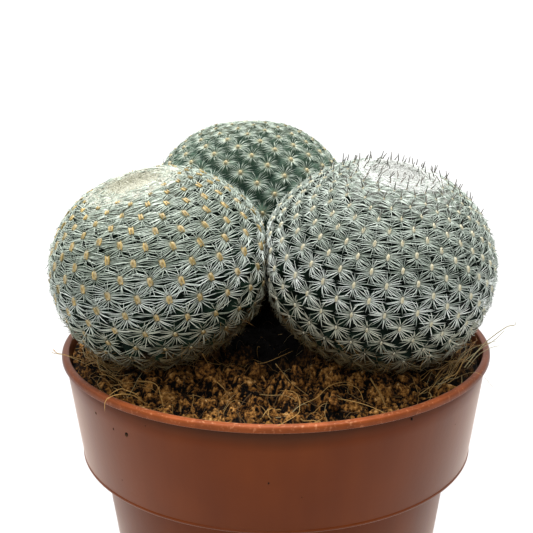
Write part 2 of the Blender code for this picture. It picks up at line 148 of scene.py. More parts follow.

# The look of one head: colours of the flesh in its grooves, painted near black as shade, on its flanks and at
# the crown; of the radial spines at root, shaft and point, with their tints on the upper ball, a painted
# shade, and at the crown; of the felt at its rim and heart; of the central spines at root, shaft and point.
# Then width and height of an areole; the central spines' shift to the side, start down the tubercle and lean;
# their widths, first angle, and angles with lengths; the wool's deep and light colours; and its hairs: how
# many, how long, how far out and how upright
Look = namedtuple("Look", "flesh spine felt centre fan pad stubs widths first_stub length wool hairs")
LOOKS = {
    "head_left": Look(
        flesh=("#040b07", "#172f21", "#c8c7b6"),
        spine=("#f5f7f0", "#ebf2ec", "#cad2cc", "#c7ccc3", "#d9d9cd"),
        felt=("#dacdaa", "#88713c"),
        centre=("#a88f50", "#b89e60", "#9f8648"),
        fan=Fan(inward=4.0, comb=12, few=2, spread=(30.0, 76.0), bow=0.7, young=0.8, old=0.9, sparse=0.2,
                upright=0.6, lift=15.0, fall=26.0, oval=(1.1, 0.40), widths=(0.22, 0.21, 0.14, 0.0),
                joints=(0.0, 0.35, 0.75, 1.0)),
        pad=(1.45, 2.1),
        stubs=((-0.33, -0.5, 1.0), (0.33, -0.5, 1.0)),
        widths=(0.26, 0.44, 0.46, 0.32, 0.0),
        first_stub=24.0,
        length=((22, 46, 80, 115), (0.7, 2.0, 2.0, 1.0)),
        wool=("#c5c4b0", "#dbdbd0"),
        hairs=(3600, 1.4, 27.0, 0.35),
    ),
    "head_right": Look(
        flesh=("#030a06", "#102419", "#d2d2ca"),
        spine=("#f8faf6", "#f5faf5", "#d0d7d1", "#b9bfb8", "#d3d6d2"),
        felt=("#dad8c4", "#b5aa86"),
        centre=("#a08a70", "#77726a", "#4b4947"),
        fan=Fan(inward=9.0, comb=11, few=2, spread=(48.0, 80.0), bow=0.55, young=0.65, old=0.95, sparse=0.35,
                upright=0.66, lift=18.0, fall=24.0, oval=(0.85, 0.38), widths=(0.24, 0.21, 0.13, 0.0),
                joints=(0.0, 0.35, 0.75, 1.0)),
        pad=(0.85, 1.8),
        stubs=((0.0, 0.0, 56.0),),
        widths=(0.24, 0.25, 0.21, 0.15, 0.0),
        first_stub=6.0,
        length=((6, 16, 30, 45, 60), (1.3, 1.9, 2.2, 1.7, 0.35)),
        wool=("#cbccc7", "#e2e4e0"),
        hairs=(2600, 1.9, 22.0, 0.45),
    ),
    "head_back": Look(
        flesh=("#2f453a", "#6f8a76", "#aeae99"),
        spine=("#d3d0b6", "#b9c4b9", "#a3afa4", "#e6e9e2", "#ffffff"),
        felt=("#c6c2a6", "#a39265"),
        centre=("#a59b78", "#9d906a", "#887b58"),
        fan=Fan(inward=4.0, comb=14, few=3, spread=(74.0, 82.0), bow=0.35, young=0.8, old=0.9, sparse=0.0,
                upright=0.8, lift=20.0, fall=44.0, oval=(0.65, 0.45), widths=(0.19, 0.17, 0.0),
                joints=(0.0, 0.5, 1.0)),
        pad=(1.1, 1.25),
        stubs=((-0.18, -0.5, 0.0), (0.18, -0.5, 0.0)),
        widths=(0.24, 0.32, 0.32, 0.24, 0.0),
        first_stub=26.0,
        length=((15, 40), (0.6, 1.1)),
        wool=("#b3af97", "#c9c6b0"),
        hairs=(1200, 1.5, 20.0, 0.6),
    ),
}

# Roots that stand out in the photograph: width, then points over the base
ROOTS = (
    (0.42, (-27, -34, 86), (-29, -36, 88), (-31, -37, 90), (-34, -39, 91), (-36, -42, 91), (-36, -44, 89)),
    (0.38, (-37, -36, 89), (-34, -36, 91), (-32, -37, 91), (-30, -37, 90), (-28, -35, 86)),
    (0.34, (-31, -29, 90), (-28, -32, 91), (-26, -34, 91), (-25, -36, 89), (-24, -38, 86)),
    (0.30, (-41, -28, 87), (-37, -30, 89), (-33, -30, 90), (-28, -28, 89), (-25, -28, 87)),
    (0.36, (-22, -23, 87), (-18, -25, 89), (-14, -24, 90), (-12, -22, 89), (-10, -24, 88)),
    (0.30, (-13, -21, 88), (-11, -20, 90), (-8, -19, 90), (-3, -21, 91), (1, -22, 93), (4, -26, 96)),
    (0.26, (0, -29, 94), (2, -28, 91), (4, -29, 89), (8, -32, 87)),
    (0.34, (6, -35, 87), (9, -34, 88), (12, -32, 90), (16, -30, 90), (18, -29, 88)),
    (0.34, (1, -30, 88), (4, -33, 89), (5, -37, 89), (5, -43, 89), (4, -48, 90), (1, -52, 90), (0, -53, 90)),
    (0.30, (-4, -32, 88), (-1, -35, 89), (2, -35, 89), (5, -36, 88)),
    (0.42, (12, -34, 88), (16, -38, 89), (20, -41, 89), (24, -46, 89)),
    (0.62, (21, -30, 91), (22, -33, 90), (23, -36, 89), (24, -39, 87)),
    (0.40, (-14, -28, 90), (-12, -30, 89), (-10, -31, 87)),
    (0.26, (-11, -42, 87), (-11, -41, 88), (-9, -40, 90), (-6, -37, 88)),
    (0.22, (8, -40, 87), (10, -40, 89), (12, -37, 88)),
    (0.22, (-16, -33, 98), (-15, -28, 93), (-17, -23, 89)),
    (0.52, (43, -24, 91), (47, -20, 94), (50, -18, 96), (54, -16, 98), (56, -15, 98), (56, -15, 99)),
    (0.44, (43, -21, 91), (48, -19, 94), (51, -17, 95), (54, -15, 97)),
    (0.34, (44, -22, 90), (47, -19, 92), (50, -17, 93), (53, -15, 93)),
    (0.32, (42, -20, 91), (46, -17, 93), (50, -16, 94), (52, -15, 94)),
    (0.16, (40, -24, 88), (45, -27, 91), (49, -29, 88)),
    (0.36, (-53, -13, 91.5), (-52, -14, 91), (-50, -15, 91), (-44, -15, 89), (-39, -16, 88)),
    (0.30, (-53, -15, 91.5), (-51, -15, 91), (-49, -16, 91), (-43, -18, 89)),
)
ROOT_SHRINK = 0.65     # the roots look that much thinner than they were measured
PALE_SIDE = 40.0       # roots that start further right than this are pale and dry
OTHER_ROOTS = 400
ROOT_POINTS = 14

# Bundles of coir against the wall: middle, spread, bearing in radians, and how many strands
BUNDLES = (
    ((-39.5, -21.0), (3.0, 2.2), -0.4, 30), ((41.0, -22.0), (4.5, 6.5), 0.9, 38),
    ((-38.0, -22.0), (5.0, 5.0), 0.2, 16), ((38.0, 22.0), (5.0, 5.0), 2.2, 30),
)

# Specks of soil that the photograph shows on the pot: bearing, height and size
SPECKS = (
    (-141.6, 83.5, 0.45), (-129.3, 81.9, 0.65), (-134.3, 81.8, 0.4), (-56.2, 86.9, 0.55), (-88.2, 87.6, 0.35),
)
OTHER_SPECKS = 60

# The photographer's camera: its place from the middle of the pot's base, its turn in radians, and its lens
CAMERA_BACK, CAMERA_HEIGHT = 244.9, 179.3
CAMERA_PITCH, CAMERA_YAW, CAMERA_ROLL = 0.2827, -0.0088, 0.0062
FOCAL_PIXELS, IMAGE_SIDE, SENSOR = 1037.87, 533.0, 36.0

# The lamps: name, strength, spread, tilt and turn
LAMPS = (("overhead_softbox", 6.2, 62, -14, 0), ("front_softbox", 1.2, 50, 50, -15))


# Shared helpers

def hex_linear(code):
    """An sRGB hex colour as linear red, green, blue and alpha."""
    parts = [int(code[i:i + 2], 16) / 255 for i in (1, 3, 5)]
    return tuple(p / 12.92 if p <= 0.04045 else ((p + 0.055) / 1.055) ** 2.4 for p in parts) + (1.0,)


def set_sockets(tree, node, sockets):
    """Gives each socket its value, or links it to another node, given with the name of its output."""
    for key, value in sockets.items():
        if isinstance(value, tuple) and isinstance(value[0], bpy.types.Node):
            tree.links.new(value[0].outputs[value[1]], node.inputs[key])
        else:
            node.inputs[key].default_value = value


def add_node(tree, kind, sockets=None, stops=(), **settings):
    """Adds a node with its settings and sockets, and the stops of a colour ramp as places and hex colours."""
    node = tree.nodes.new("ShaderNode" + kind)
    for key, value in settings.items():
        setattr(node, key, value)
    set_sockets(tree, node, sockets or {})
    if stops:
        points = node.color_ramp.elements
        points.remove(points[1])
        points[0].position = stops[0][0]
        points[0].color = hex_linear(stops[0][1])
        for place, code in stops[1:]:
            points.new(place).color = hex_linear(code)
    return node


def new_material(name):
    material = bpy.data.materials.new(name)
    material.use_nodes = True
    return material, material.node_tree, material.node_tree.nodes["Principled BSDF"]


def deselect():
    if bpy.context.object and bpy.context.object.mode != "OBJECT":
        bpy.ops.object.mode_set(mode="OBJECT")
    bpy.ops.object.select_all(action="DESELECT")


def make_active(item):
    deselect()
    item.select_set(True)
    bpy.context.view_layer.objects.active = item


def link_object(name, data):
    item = bpy.data.objects.new(name, data)
    bpy.context.scene.collection.objects.link(item)
    return item


def piece_from(name, corners, faces, material, smooth=True, values=None):
    """One object from corners in millimetres, with optional float attributes on its corners."""
    mesh = bpy.data.meshes.new(name)
    mesh.from_pydata((np.asarray(corners, float) * MM).tolist(), [], [list(map(int, face)) for face in faces])
    for key, data in (values or {}).items():
        mesh.attributes.new(key, "FLOAT", "POINT").data.foreach_set("value", np.asarray(data, np.float32))
    mesh.materials.append(material)
    mesh.polygons.foreach_set("use_smooth", np.full(len(mesh.polygons), smooth))
    return link_object(name, mesh)


def unit(vectors):
    return vectors / np.linalg.norm(vectors, axis=-1, keepdims=True)


def ball_directions(polar, bearing):
    """Directions on a unit ball from their angles from the crown and their bearings round it, in radians."""
    return np.stack([np.sin(polar) * np.cos(bearing), np.sin(polar) * np.sin(bearing), np.cos(polar)], -1)


def strands(name, paths, widths, sides, material, values=None):
    """Many tapering strands as one mesh: paths is (strand, point, xyz), widths (point,) or (strand, point).

    Each strand ends in a point, and its root is closed.
    """
    paths = np.asarray(paths, float)
    count, points, _ = paths.shape
    widths = np.broadcast_to(np.asarray(widths, float), (count, points))
    ways = unit(np.gradient(paths, axis=1))
    across = unit(np.cross(ways, unit(np.cross(ways[:, :1], (0.31, 0.87, 0.38)))))
    other = np.cross(ways, across)
    turns = np.arange(sides) * math.tau / sides
    rings = (paths[:, :-1, None] + 0.5 * widths[:, :-1, None, None] * (
        across[:, :-1, None] * np.cos(turns)[:, None] + other[:, :-1, None] * np.sin(turns)[:, None]))
    ring_corners = (points - 1) * sides
    corners = np.concatenate([rings.reshape(count, ring_corners, 3), paths[:, -1:]], axis=1)
    pattern = [tuple(reversed(range(sides)))]
    for row in range(points - 2):
        for side in range(sides):
            a, b = row * sides + side, row * sides + (side + 1) % sides
            pattern.append((a, b, b + sides, a + sides))
    last = (points - 2) * sides
    pattern += [(last + side, last + (side + 1) % sides, ring_corners) for side in range(sides)]
    per_strand = ring_corners + 1
    faces = [[corner + strand * per_strand for corner in face] for strand in range(count) for face in pattern]
    along = np.append(np.repeat(np.linspace(0, 1, points)[:-1], sides), 1.0)
    data = {"along": np.tile(along, count)}
    for key, value in (values or {}).items():
        data[key] = np.repeat(np.asarray(value, float), per_strand)
    return piece_from(name, corners.reshape(-1, 3), faces, material, True, data)


def ball_shape(subdivisions):
    """Corners and faces of a unit ball."""
    deselect()
    bpy.ops.mesh.primitive_ico_sphere_add(subdivisions=subdivisions, radius=1.0, location=(0, 0, 0))
    model = bpy.context.object
    corners = np.array([vert.co for vert in model.data.vertices])
    faces = np.array([list(face.vertices) for face in model.data.polygons])
    bpy.data.objects.remove(model, do_unlink=True)
    return corners, faces


# Materials, where the scale of a noise is how many of its lumps lie on a metre

def moulded_polypropylene():
    """Injection-moulded polypropylene, coloured through: semi-gloss, with faint upright flow marks.

    The lip's front and top edge are painted lighter, a painted highlight with rubbed streaks and fine pale
    nicks; a dark film is laid on as dirt and painted shade on the inside and the lip's sides, and as painted
    shadow under the lip.
    """
    material, tree, shader = new_material("moulded_polypropylene")
    place = add_node(tree, "TexCoord")
    wear_and_painted_light = add_node(tree, "Attribute", attribute_name="wear_and_painted_light")
    dirt_and_shade = add_node(tree, "Attribute", attribute_name="dirt_and_shade")
    upright = add_node(tree, "Mapping", {"Vector": (place, "Object"), "Scale": (1.0, 1.0, 0.12)})
    streak = add_node(tree, "TexNoise", {"Vector": (upright, 0), "Scale": 150.0, "Detail": 3.0})
    cloud = add_node(tree, "TexNoise", {"Vector": (place, "Object"), "Scale": 40.0, "Detail": 3.0})
    fleck = add_node(tree, "TexNoise", {"Vector": (place, "Object"), "Scale": 1400.0, "Detail": 2.0})
    grain = add_node(tree, "TexNoise", {"Vector": (place, "Object"), "Scale": 900.0, "Detail": 3.0})
    blend = add_node(tree, "Math", {0: (streak, "Fac"), 1: 0.6, 2: (cloud, "Fac")}, operation="MULTIPLY_ADD")
    tone = add_node(tree, "ValToRGB", {"Fac": (blend, 0)}, ((0.60, "#5e2807"), (1.0, "#6b3009")))
    # The lip's front and top edge are painted lighter: a painted highlight, broken by rubbed streaks and pale
    # nicks
    rub = add_node(tree, "MapRange", {"Value": (streak, "Fac"), "From Min": 0.3, "From Max": 0.7,
                                      "To Min": 0.15, "To Max": 0.55})
    rub_and_highlight = add_node(tree, "Math", {0: (wear_and_painted_light, "Fac"), 1: (rub, "Result")}, operation="MULTIPLY")
    scuffed_and_highlit = add_node(tree, "Mix", {"Factor": (rub_and_highlight, 0), "A": (tone, "Color"), "B": hex_linear("#a8562a")},
                       data_type="RGBA")
    nick = add_node(tree, "MapRange", {"Value": (fleck, "Fac"), "From Min": 0.58, "From Max": 0.72,
                                       "To Max": 0.45})
    nicked = add_node(tree, "Math", {0: (wear_and_painted_light, "Fac"), 1: (nick, "Result")}, operation="MULTIPLY")
    pale = add_node(tree, "Mix", {"Factor": (nicked, 0), "A": (scuffed_and_highlit, "Result"),
                                  "B": hex_linear("#c98a62")}, data_type="RGBA")
    # A dark film: dirt and painted shade on the inside and the lip's sides, painted shadow under the lip; the
    # sheen is taken off where it lies
    spread = add_node(tree, "Math", {0: (dirt_and_shade, "Fac"), 1: 1.1, 2: (cloud, "Fac")}, operation="MULTIPLY_ADD")
    darkening = add_node(tree, "MapRange", {"Value": (spread, 0), "From Min": 0.62, "From Max": 1.25,
                                       "To Max": 0.75})
    darkened = add_node(tree, "Mix", {"Factor": (darkening, "Result"), "A": (pale, "Result"),
                                   "B": hex_linear("#3a2213")}, data_type="RGBA")
    gloss = add_node(tree, "MapRange", {"Value": (cloud, "Fac"), "To Min": 0.28, "To Max": 0.42})
    bump = add_node(tree, "Bump", {"Height": (grain, "Fac"), "Strength": 0.12, "Distance": 0.0001})
    bloom = add_node(tree, "MapRange", {"Value": (dirt_and_shade, "Fac"), "From Max": 0.3, "To Min": 0.44,
                                        "To Max": 0.0})
    set_sockets(tree, shader, {
        "Base Color": (darkened, "Result"), "Roughness": (gloss, "Result"), "Normal": (bump, "Normal"),
        "IOR": 1.49, "Specular IOR Level": 0.11, "Sheen Weight": (bloom, "Result"), "Sheen Roughness": 0.42,
        "Sheen Tint": hex_linear("#ffe8d8")})
    return material


def peaty_soil():
    """Dry peat potting mix: matt golden-brown crumbs, pores and cracks painted near black as shade, and
    darkened where shade falls, as painted shade with damp.
    """
    material, tree, shader = new_material("peaty_soil")
    place = add_node(tree, "TexCoord")
    tone = add_node(tree, "Attribute", attribute_name="tone")
    damp_and_shade = add_node(tree, "Attribute", attribute_name="damp_and_shade")
    grit = add_node(tree, "TexNoise", {"Vector": (place, "Object"), "Scale": 900.0, "Detail": 6.0,
                                       "Roughness": 0.75})
    blend = add_node(tree, "Math", {0: (grit, "Fac"), 1: 1.2, 2: (tone, "Fac")}, operation="MULTIPLY_ADD")
    light = add_node(tree, "MapRange", {"Value": (blend, 0), "From Min": 0.74, "From Max": 1.35})
    # Near black at the low end, where the cracks and pores lie: painted shade
    dry = add_node(tree, "ValToRGB", {"Fac": (light, 0)}, (
        (0.0, "#020100"), (0.10, "#2a190a"), (0.22, "#68431c"), (0.40, "#9a6b33"), (0.62, "#c89a5e"),
        (0.9, "#e8cf9f")))
    # Darkened towards near-black brown between the plants and in the side patches: painted shade, with damp
    damp_and_shaded = add_node(tree, "Mix", {"Factor": (damp_and_shade, "Fac"), "A": (dry, "Color"), "B": hex_linear("#0c0806")},
                   data_type="RGBA")
    bump = add_node(tree, "Bump", {"Height": (grit, "Fac"), "Strength": 1.0, "Distance": 0.0005})
    set_sockets(tree, shader, {"Base Color": (damp_and_shaded, "Result"), "Normal": (bump, "Normal"), "Roughness": 0.95,
                               "Specular IOR Level": 0.15})
    return material


def root_fibre():
    """Dried roots and coir: tan, matt, darker in places."""
    material, tree, shader = new_material("root_fibre")
    tone = add_node(tree, "Attribute", attribute_name="tone")
    colour = add_node(tree, "ValToRGB", {"Fac": (tone, "Fac")}, (
        (0.0, "#2a1b0b"), (0.5, "#6e5026"), (0.8, "#bc9350"), (1.0, "#988c66")))
    set_sockets(tree, shader, {"Base Color": (colour, "Color"), "Roughness": 0.75})
    return material


def cactus_flesh(name, painted_groove_shade, flank, crown):
    """Living cactus skin: deep green and waxy, painted near black in its grooves as shade, woolly at the
    crown, brown and corky low on the ball.
    """
    material, tree, shader = new_material(name)
    place = add_node(tree, "TexCoord")
    tip = add_node(tree, "Attribute", attribute_name="tip")
    age = add_node(tree, "Attribute", attribute_name="age")
    mottle = add_node(tree, "TexNoise", {"Vector": (place, "Object"), "Scale": 700.0, "Detail": 4.0})
    # Near black in the grooves, lighter up to each tubercle's tip: painted shade
    green = add_node(tree, "ValToRGB", {"Fac": (tip, "Fac")}, ((0.0, painted_groove_shade), (0.85, flank)))
    wool = add_node(tree, "ValToRGB", {"Fac": (age, "Fac")}, ((0.11, "#ffffff"), (0.21, "#000000")))
    cork = add_node(tree, "ValToRGB", {"Fac": (age, "Fac")}, ((0.70, "#000000"), (0.80, "#ffffff")))
    bark = add_node(tree, "ValToRGB", {"Fac": (mottle, "Fac")}, ((0.35, "#1c140c"), (0.65, "#5a452b")))
    low = add_node(tree, "Mix", {"Factor": (cork, "Color"), "A": (green, "Color"), "B": (bark, "Color")},
                   data_type="RGBA")
    high = add_node(tree, "Mix", {"Factor": (wool, "Color"), "A": (low, "Result"), "B": hex_linear(crown)},
                    data_type="RGBA")
    bump = add_node(tree, "Bump", {"Height": (mottle, "Fac"), "Strength": 0.3, "Distance": 0.0002})
    set_sockets(tree, shader, {"Base Color": (high, "Result"), "Normal": (bump, "Normal"), "Roughness": 0.65,
                               "Specular IOR Level": 0.08})
    return material


def spine_horn(name, root, shaft, point, upper_painted_shade="#ffffff", crown="#ffffff"):
    """Spines of thin horn: pale, each a shade of its own, with painted shade on the upper ball and low on it,
    tan on the oldest.
    """
    material, tree, shader = new_material(name)
    along = add_node(tree, "Attribute", attribute_name="along")
    tone = add_node(tree, "Attribute", attribute_name="tone")
    age = add_node(tree, "Attribute", attribute_name="age")
    colour = add_node(tree, "ValToRGB", {"Fac": (along, "Fac")}, (
        (0.0, root), (0.22, shaft), (0.8, shaft), (1.0, point)))
    dim = add_node(tree, "ValToRGB", {"Fac": (tone, "Fac")}, ((0.0, "#929b93"), (1.0, "#ffffff")))
    # Tints by age: the upper ball darker and the lower ball a little greyer, both painted shade; the oldest
    # tan
    old = add_node(tree, "ValToRGB", {"Fac": (age, "Fac")}, (
        (0.05, crown), (0.17, upper_painted_shade), (0.36, upper_painted_shade), (0.48, "#ffffff"), (0.57, "#ddd9ca"), (0.70, "#75623f")))
    wear_and_painted_light = add_node(tree, "Mix", {"Factor": 1.0, "A": (colour, "Color"), "B": (old, "Color")},
                    data_type="RGBA", blend_type="MULTIPLY")
    dimmed = add_node(tree, "VectorMath", {0: (wear_and_painted_light, "Result"), 1: (dim, "Color")}, operation="MULTIPLY")
    shade = add_node(tree, "VectorMath", {0: (dimmed, "Vector"), "Scale": 1.2}, operation="SCALE")
    set_sockets(tree, shader, {"Base Color": (shade, "Vector"), "Roughness": 0.36, "IOR": 1.54})
    return material


def crown_wool(name, deep, light):
    """Matted hairs of the crown: soft and matt, each a shade lighter or darker."""
    material, tree, shader = new_material(name)
    tone = add_node(tree, "Attribute", attribute_name="tone")
    colour = add_node(tree, "ValToRGB", {"Fac": (tone, "Fac")}, ((0.0, deep), (1.0, light)))
    set_sockets(tree, shader, {"Base Color": (colour, "Color"), "Roughness": 0.9, "Specular IOR Level": 0.1})
    return material


def areole_felt(name, rim, heart):
    """The felted pad that the spines stand in, a shade darker at its heart."""
    material, tree, shader = new_material(name)
    inside = add_node(tree, "Attribute", attribute_name="heart")
    colour = add_node(tree, "ValToRGB", {"Fac": (inside, "Fac")}, ((0.2, rim), (0.9, heart)))
    set_sockets(tree, shader, {"Base Color": (colour, "Color"), "Roughness": 0.85})
    return material


def studio_paper():
    """Matt pale paper."""
    material, tree, shader = new_material("studio_floor")
    set_sockets(tree, shader, {"Base Color": (0.42, 0.42, 0.42, 1.0), "Roughness": 0.9,
                               "Specular IOR Level": 0.0})
    return material


# The pot

def body_radius(height):
    """Outside radius of the tapered body, from its base to the step under the collar."""
    return BASE_RADIUS + (BODY_TOP_RADIUS - BASE_RADIUS) * height / STEP_HEIGHT


def collar_inner_radius(height):
    """Inside radius of the collar, from the step to the rim."""
    share = (height - STEP_HEIGHT) / COLLAR_HEIGHT
    return COLLAR_FOOT_RADIUS - WALL + (RIM_INNER_RADIUS - COLLAR_FOOT_RADIUS + WALL) * share


def arc(middle_r, middle_z, radius, first, last, steps):
    """Points of a round corner in the profile, from its first angle to its last."""
    angles = np.radians(np.linspace(first, last, steps))
    return [(middle_r + radius * math.cos(angle), middle_z + radius * math.sin(angle)) for angle in angles]


def pot_profile():
    """Radius and height from the middle of the base, up the outside and down the inside."""
    return (
        [(0.0, 0.0)]
        + arc(BASE_RADIUS - BASE_ROUND, BASE_ROUND, BASE_ROUND, -90, -8, 6)
        + [(BODY_TOP_RADIUS, STEP_HEIGHT - STEP_ROUND - 0.2)]
        + arc(BODY_TOP_RADIUS + STEP_ROUND, STEP_HEIGHT - STEP_ROUND, STEP_ROUND, 172, 95, 4)
        + arc(COLLAR_FOOT_RADIUS - 0.35, STEP_HEIGHT + COLLAR_ROUND, COLLAR_ROUND, -88, 50, 10)
        + [(COLLAR_FOOT_RADIUS + 0.02, STEP_HEIGHT + 1.1)]
        + [(collar_inner_radius(LIP_FOOT - drop) + WALL, LIP_FOOT - drop) for drop in (5.0, 3.6, 2.2, 1.2)]
        + [(COLLAR_TOP_RADIUS - 0.05, LIP_FOOT - 0.6), (COLLAR_TOP_RADIUS, LIP_FOOT - 0.2)]
        + arc(LIP_RADIUS - LIP_UNDER_ROUND, LIP_FOOT + LIP_UNDER_ROUND, LIP_UNDER_ROUND, -80, 0, 5)
        + arc(LIP_RADIUS - LIP_ROUND, POT_HEIGHT - LIP_ROUND, LIP_ROUND, 4, 86, 9)
        + arc(RIM_INNER_RADIUS + RIM_ROUND, POT_HEIGHT - RIM_ROUND, RIM_ROUND, 90, 180, 6)
        + [(collar_inner_radius(POT_HEIGHT - drop), POT_HEIGHT - drop) for drop in (1.2, 2.4, SOIL_DROP)]
        + [(COLLAR_FOOT_RADIUS - WALL, STEP_HEIGHT + WALL + INNER_ROUND)]
        + arc(COLLAR_FOOT_RADIUS - WALL - INNER_ROUND, STEP_HEIGHT + WALL + INNER_ROUND,
              INNER_ROUND, 0, -90, 4)
        + arc(BODY_TOP_RADIUS - WALL + INNER_STEP_ROUND, STEP_HEIGHT + WALL - INNER_STEP_ROUND,
              INNER_STEP_ROUND, 90, 180, 4)
        + arc(body_radius(WALL) - WALL - INNER_ROUND, WALL + INNER_ROUND, INNER_ROUND, 0, -90, 4)
        + [(0.0, WALL)]
    )


def spin_shell():
    """The pot's shell, spun from its profile."""
    mesh = bpy.data.meshes.new("pot_shell")
    points = [(radius * MM, 0.0, height * MM) for radius, height in pot_profile()]
    mesh.from_pydata(points, [(i, i + 1) for i in range(len(points) - 1)], [])
    pot = link_object("pot_shell", mesh)
    make_active(pot)
    bpy.ops.object.mode_set(mode="EDIT")
    bpy.ops.mesh.select_all(action="SELECT")
    bpy.ops.mesh.spin(steps=POT_STEPS, angle=math.tau, center=(0, 0, 0), axis=(0, 0, 1))
    bpy.ops.mesh.select_all(action="SELECT")
    bpy.ops.mesh.remove_doubles(threshold=0.00001)
    bpy.ops.mesh.normals_make_consistent(inside=False)
    bpy.ops.object.mode_set(mode="OBJECT")
    return pot


def cut_drain_holes(pot):
    """A ring of round holes through the base."""
    drills = []
    for number in range(DRAIN_HOLES):
        angle = math.tau * (number + 0.5) / DRAIN_HOLES
        deselect()
        bpy.ops.mesh.primitive_cylinder_add(
            vertices=32, radius=DRAIN_RADIUS * MM, depth=4 * WALL * MM,
            location=(DRAIN_RING * MM * math.cos(angle), DRAIN_RING * MM * math.sin(angle), WALL * MM / 2))
        drills.append(bpy.context.object)
    deselect()
    for drill in drills:
        drill.select_set(True)
    bpy.context.view_layer.objects.active = drills[0]
    bpy.ops.object.join()
    make_active(pot)
    cut = pot.modifiers.new("drain_holes", "BOOLEAN")
    cut.operation = "DIFFERENCE"
    cut.solver = "EXACT"
    cut.object = drills[0]
    bpy.ops.object.modifier_apply(modifier=cut.name)
    bpy.data.objects.remove(drills[0], do_unlink=True)


def weather(pot):
    """Marks the lip's painted highlight and wear, the painted shadow under the lip, and dirt with painted
    shade on the lip's sides and inside the pot.
    """
    dirt_and_shade = pot.data.attributes.new("dirt_and_shade", "FLOAT", "POINT")
    wear_and_painted_light = pot.data.attributes.new("wear_and_painted_light", "FLOAT", "POINT")
    for vert in pot.data.vertices:
        radius, height = math.hypot(vert.co.x, vert.co.y) / MM, vert.co.z / MM
        front = max(0.0, -vert.co.y / MM / max(radius, WALL))
        if height > LIP_FOOT - 0.05 and radius > RIM_INNER_RADIUS - 0.1:
            # The lip's front is painted lighter, most on its top edge, as a painted highlight with wear; its
            # sides are darkened for dirt and painted shade
            edge = height > POT_HEIGHT - 0.3 and radius > LIP_RADIUS - 1.4
            wear_and_painted_light.data[vert.index].value = (EDGE_HIGHLIGHT if edge else LIP_WEAR_AND_HIGHLIGHT) * front
            dirt_and_shade.data[vert.index].value = 0.6 * (1.0 - front)
        elif height > LIP_FOOT - 5.0 and radius > COLLAR_FOOT_RADIUS:
            # A band under the lip's front is darkened as the lip's painted shadow
            dirt_and_shade.data[vert.index].value = 0.9 * front ** 2 * (1.0 - (LIP_FOOT - height) / 5.0)
        on_collar = height > STEP_HEIGHT + 1.5
        wall = collar_inner_radius(height) if on_collar else body_radius(height) - WALL
        # The inside is darkened more the deeper it lies: dirt and painted shade
        if radius < wall + 0.05 and height > WALL / 2:
            dirt_and_shade.data[vert.index].value = min(1.0, 0.35 + (POT_HEIGHT - 0.6 - height) / 1.8)


def make_pot():
    """The pot, spun and drilled, with its weather marks, smooth up to its hard edges."""
    pot = spin_shell()
    cut_drain_holes(pot)
    weather(pot)
    pot.data.materials.append(moulded_polypropylene())
    make_active(pot)
    bpy.ops.object.shade_smooth_by_angle(angle=math.radians(35))
    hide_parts("pot")
    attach(pot, BODY)


# The balls of the plants

def axes_of(head):
    """Half axes of the ball: two across and one from its foot to its crown."""
    up = Vector((head.lean_x, head.lean_y, math.sqrt(1.0 - head.lean_x ** 2 - head.lean_y ** 2)))
    across = (Vector((1.0, 0.0, 0.0)) - up * up.x).normalized()
    other = up.cross(across)
    return np.array([across * head.half_width, other * head.half_width, up * head.half_height])


def middle_of(head):
    return np.array([head.x, head.y, head.z])


def neck_of(head):
    """Where the neck stands in the soil: under the foot of the ball."""
    foot = middle_of(head) - axes_of(head)[2] * 0.9
    return foot[0], foot[1]


def from_neck(head, x, y):
    neck_x, neck_y = neck_of(head)
    return np.hypot(x - neck_x, y - neck_y)


def underside(head, x, y):
    """Height of the ball's lower face over points of the soil, and infinity outside its shadow."""
    inverse = np.linalg.inv(axes_of(head).T * UNDERSIDE_LEVEL)
    start = np.stack([x - head.x, y - head.y, np.full_like(x, -head.z)], axis=-1) @ inverse.T
    along = inverse @ np.array([0.0, 0.0, 1.0])
    a, b, c = along @ along, start @ along, np.sum(start * start, axis=-1) - 1.0
    inside = b * b - a * c
    return np.where(inside > 0.0, (-b - np.sqrt(np.maximum(inside, 0.0))) / a, np.inf)


def walls_between(head):
    """The planes where this head meets the others: a point on each and its direction away from the head."""
    walls = []
    for other in HEADS:
        if other.name == head.name:
            continue
        way = middle_of(other) - middle_of(head)
        apart = np.linalg.norm(way)
        reach = (apart + (head.half_width ** 2 - other.half_width ** 2) / apart) / 2.0
        way = way / apart
        walls.append((middle_of(head) + way * reach, way))
    return walls


def pressed(points, walls, gap=PRESS_GAP):
    """Squeezes points softly back from the planes where the heads meet."""
    points = np.array(points, float)
    room = PRESS_REACH - gap
    for place, way in walls:
        depth = (points - place) @ way
        eased = -gap - room * np.exp(-(np.maximum(depth, -PRESS_REACH) + PRESS_REACH) / room)
        points += np.where(depth > -PRESS_REACH, eased - depth, 0.0)[..., None] * way
    return points


def spiral(head, first_angle, last_angle):
    """Directions of the tubercles on a unit ball, and their angles from the crown, in the order they grew."""
    numbers = np.arange(-110, 520)
    share = numbers / PACE_SPAN
    angles = head.start + head.pace * share + head.droop * share ** 3
    keep = (angles > first_angle) & (angles < last_angle)
    bearings = head.bearing + head.turn * numbers[keep] * head.step
    return ball_directions(np.radians(angles[keep]), np.radians(bearings)), angles[keep]


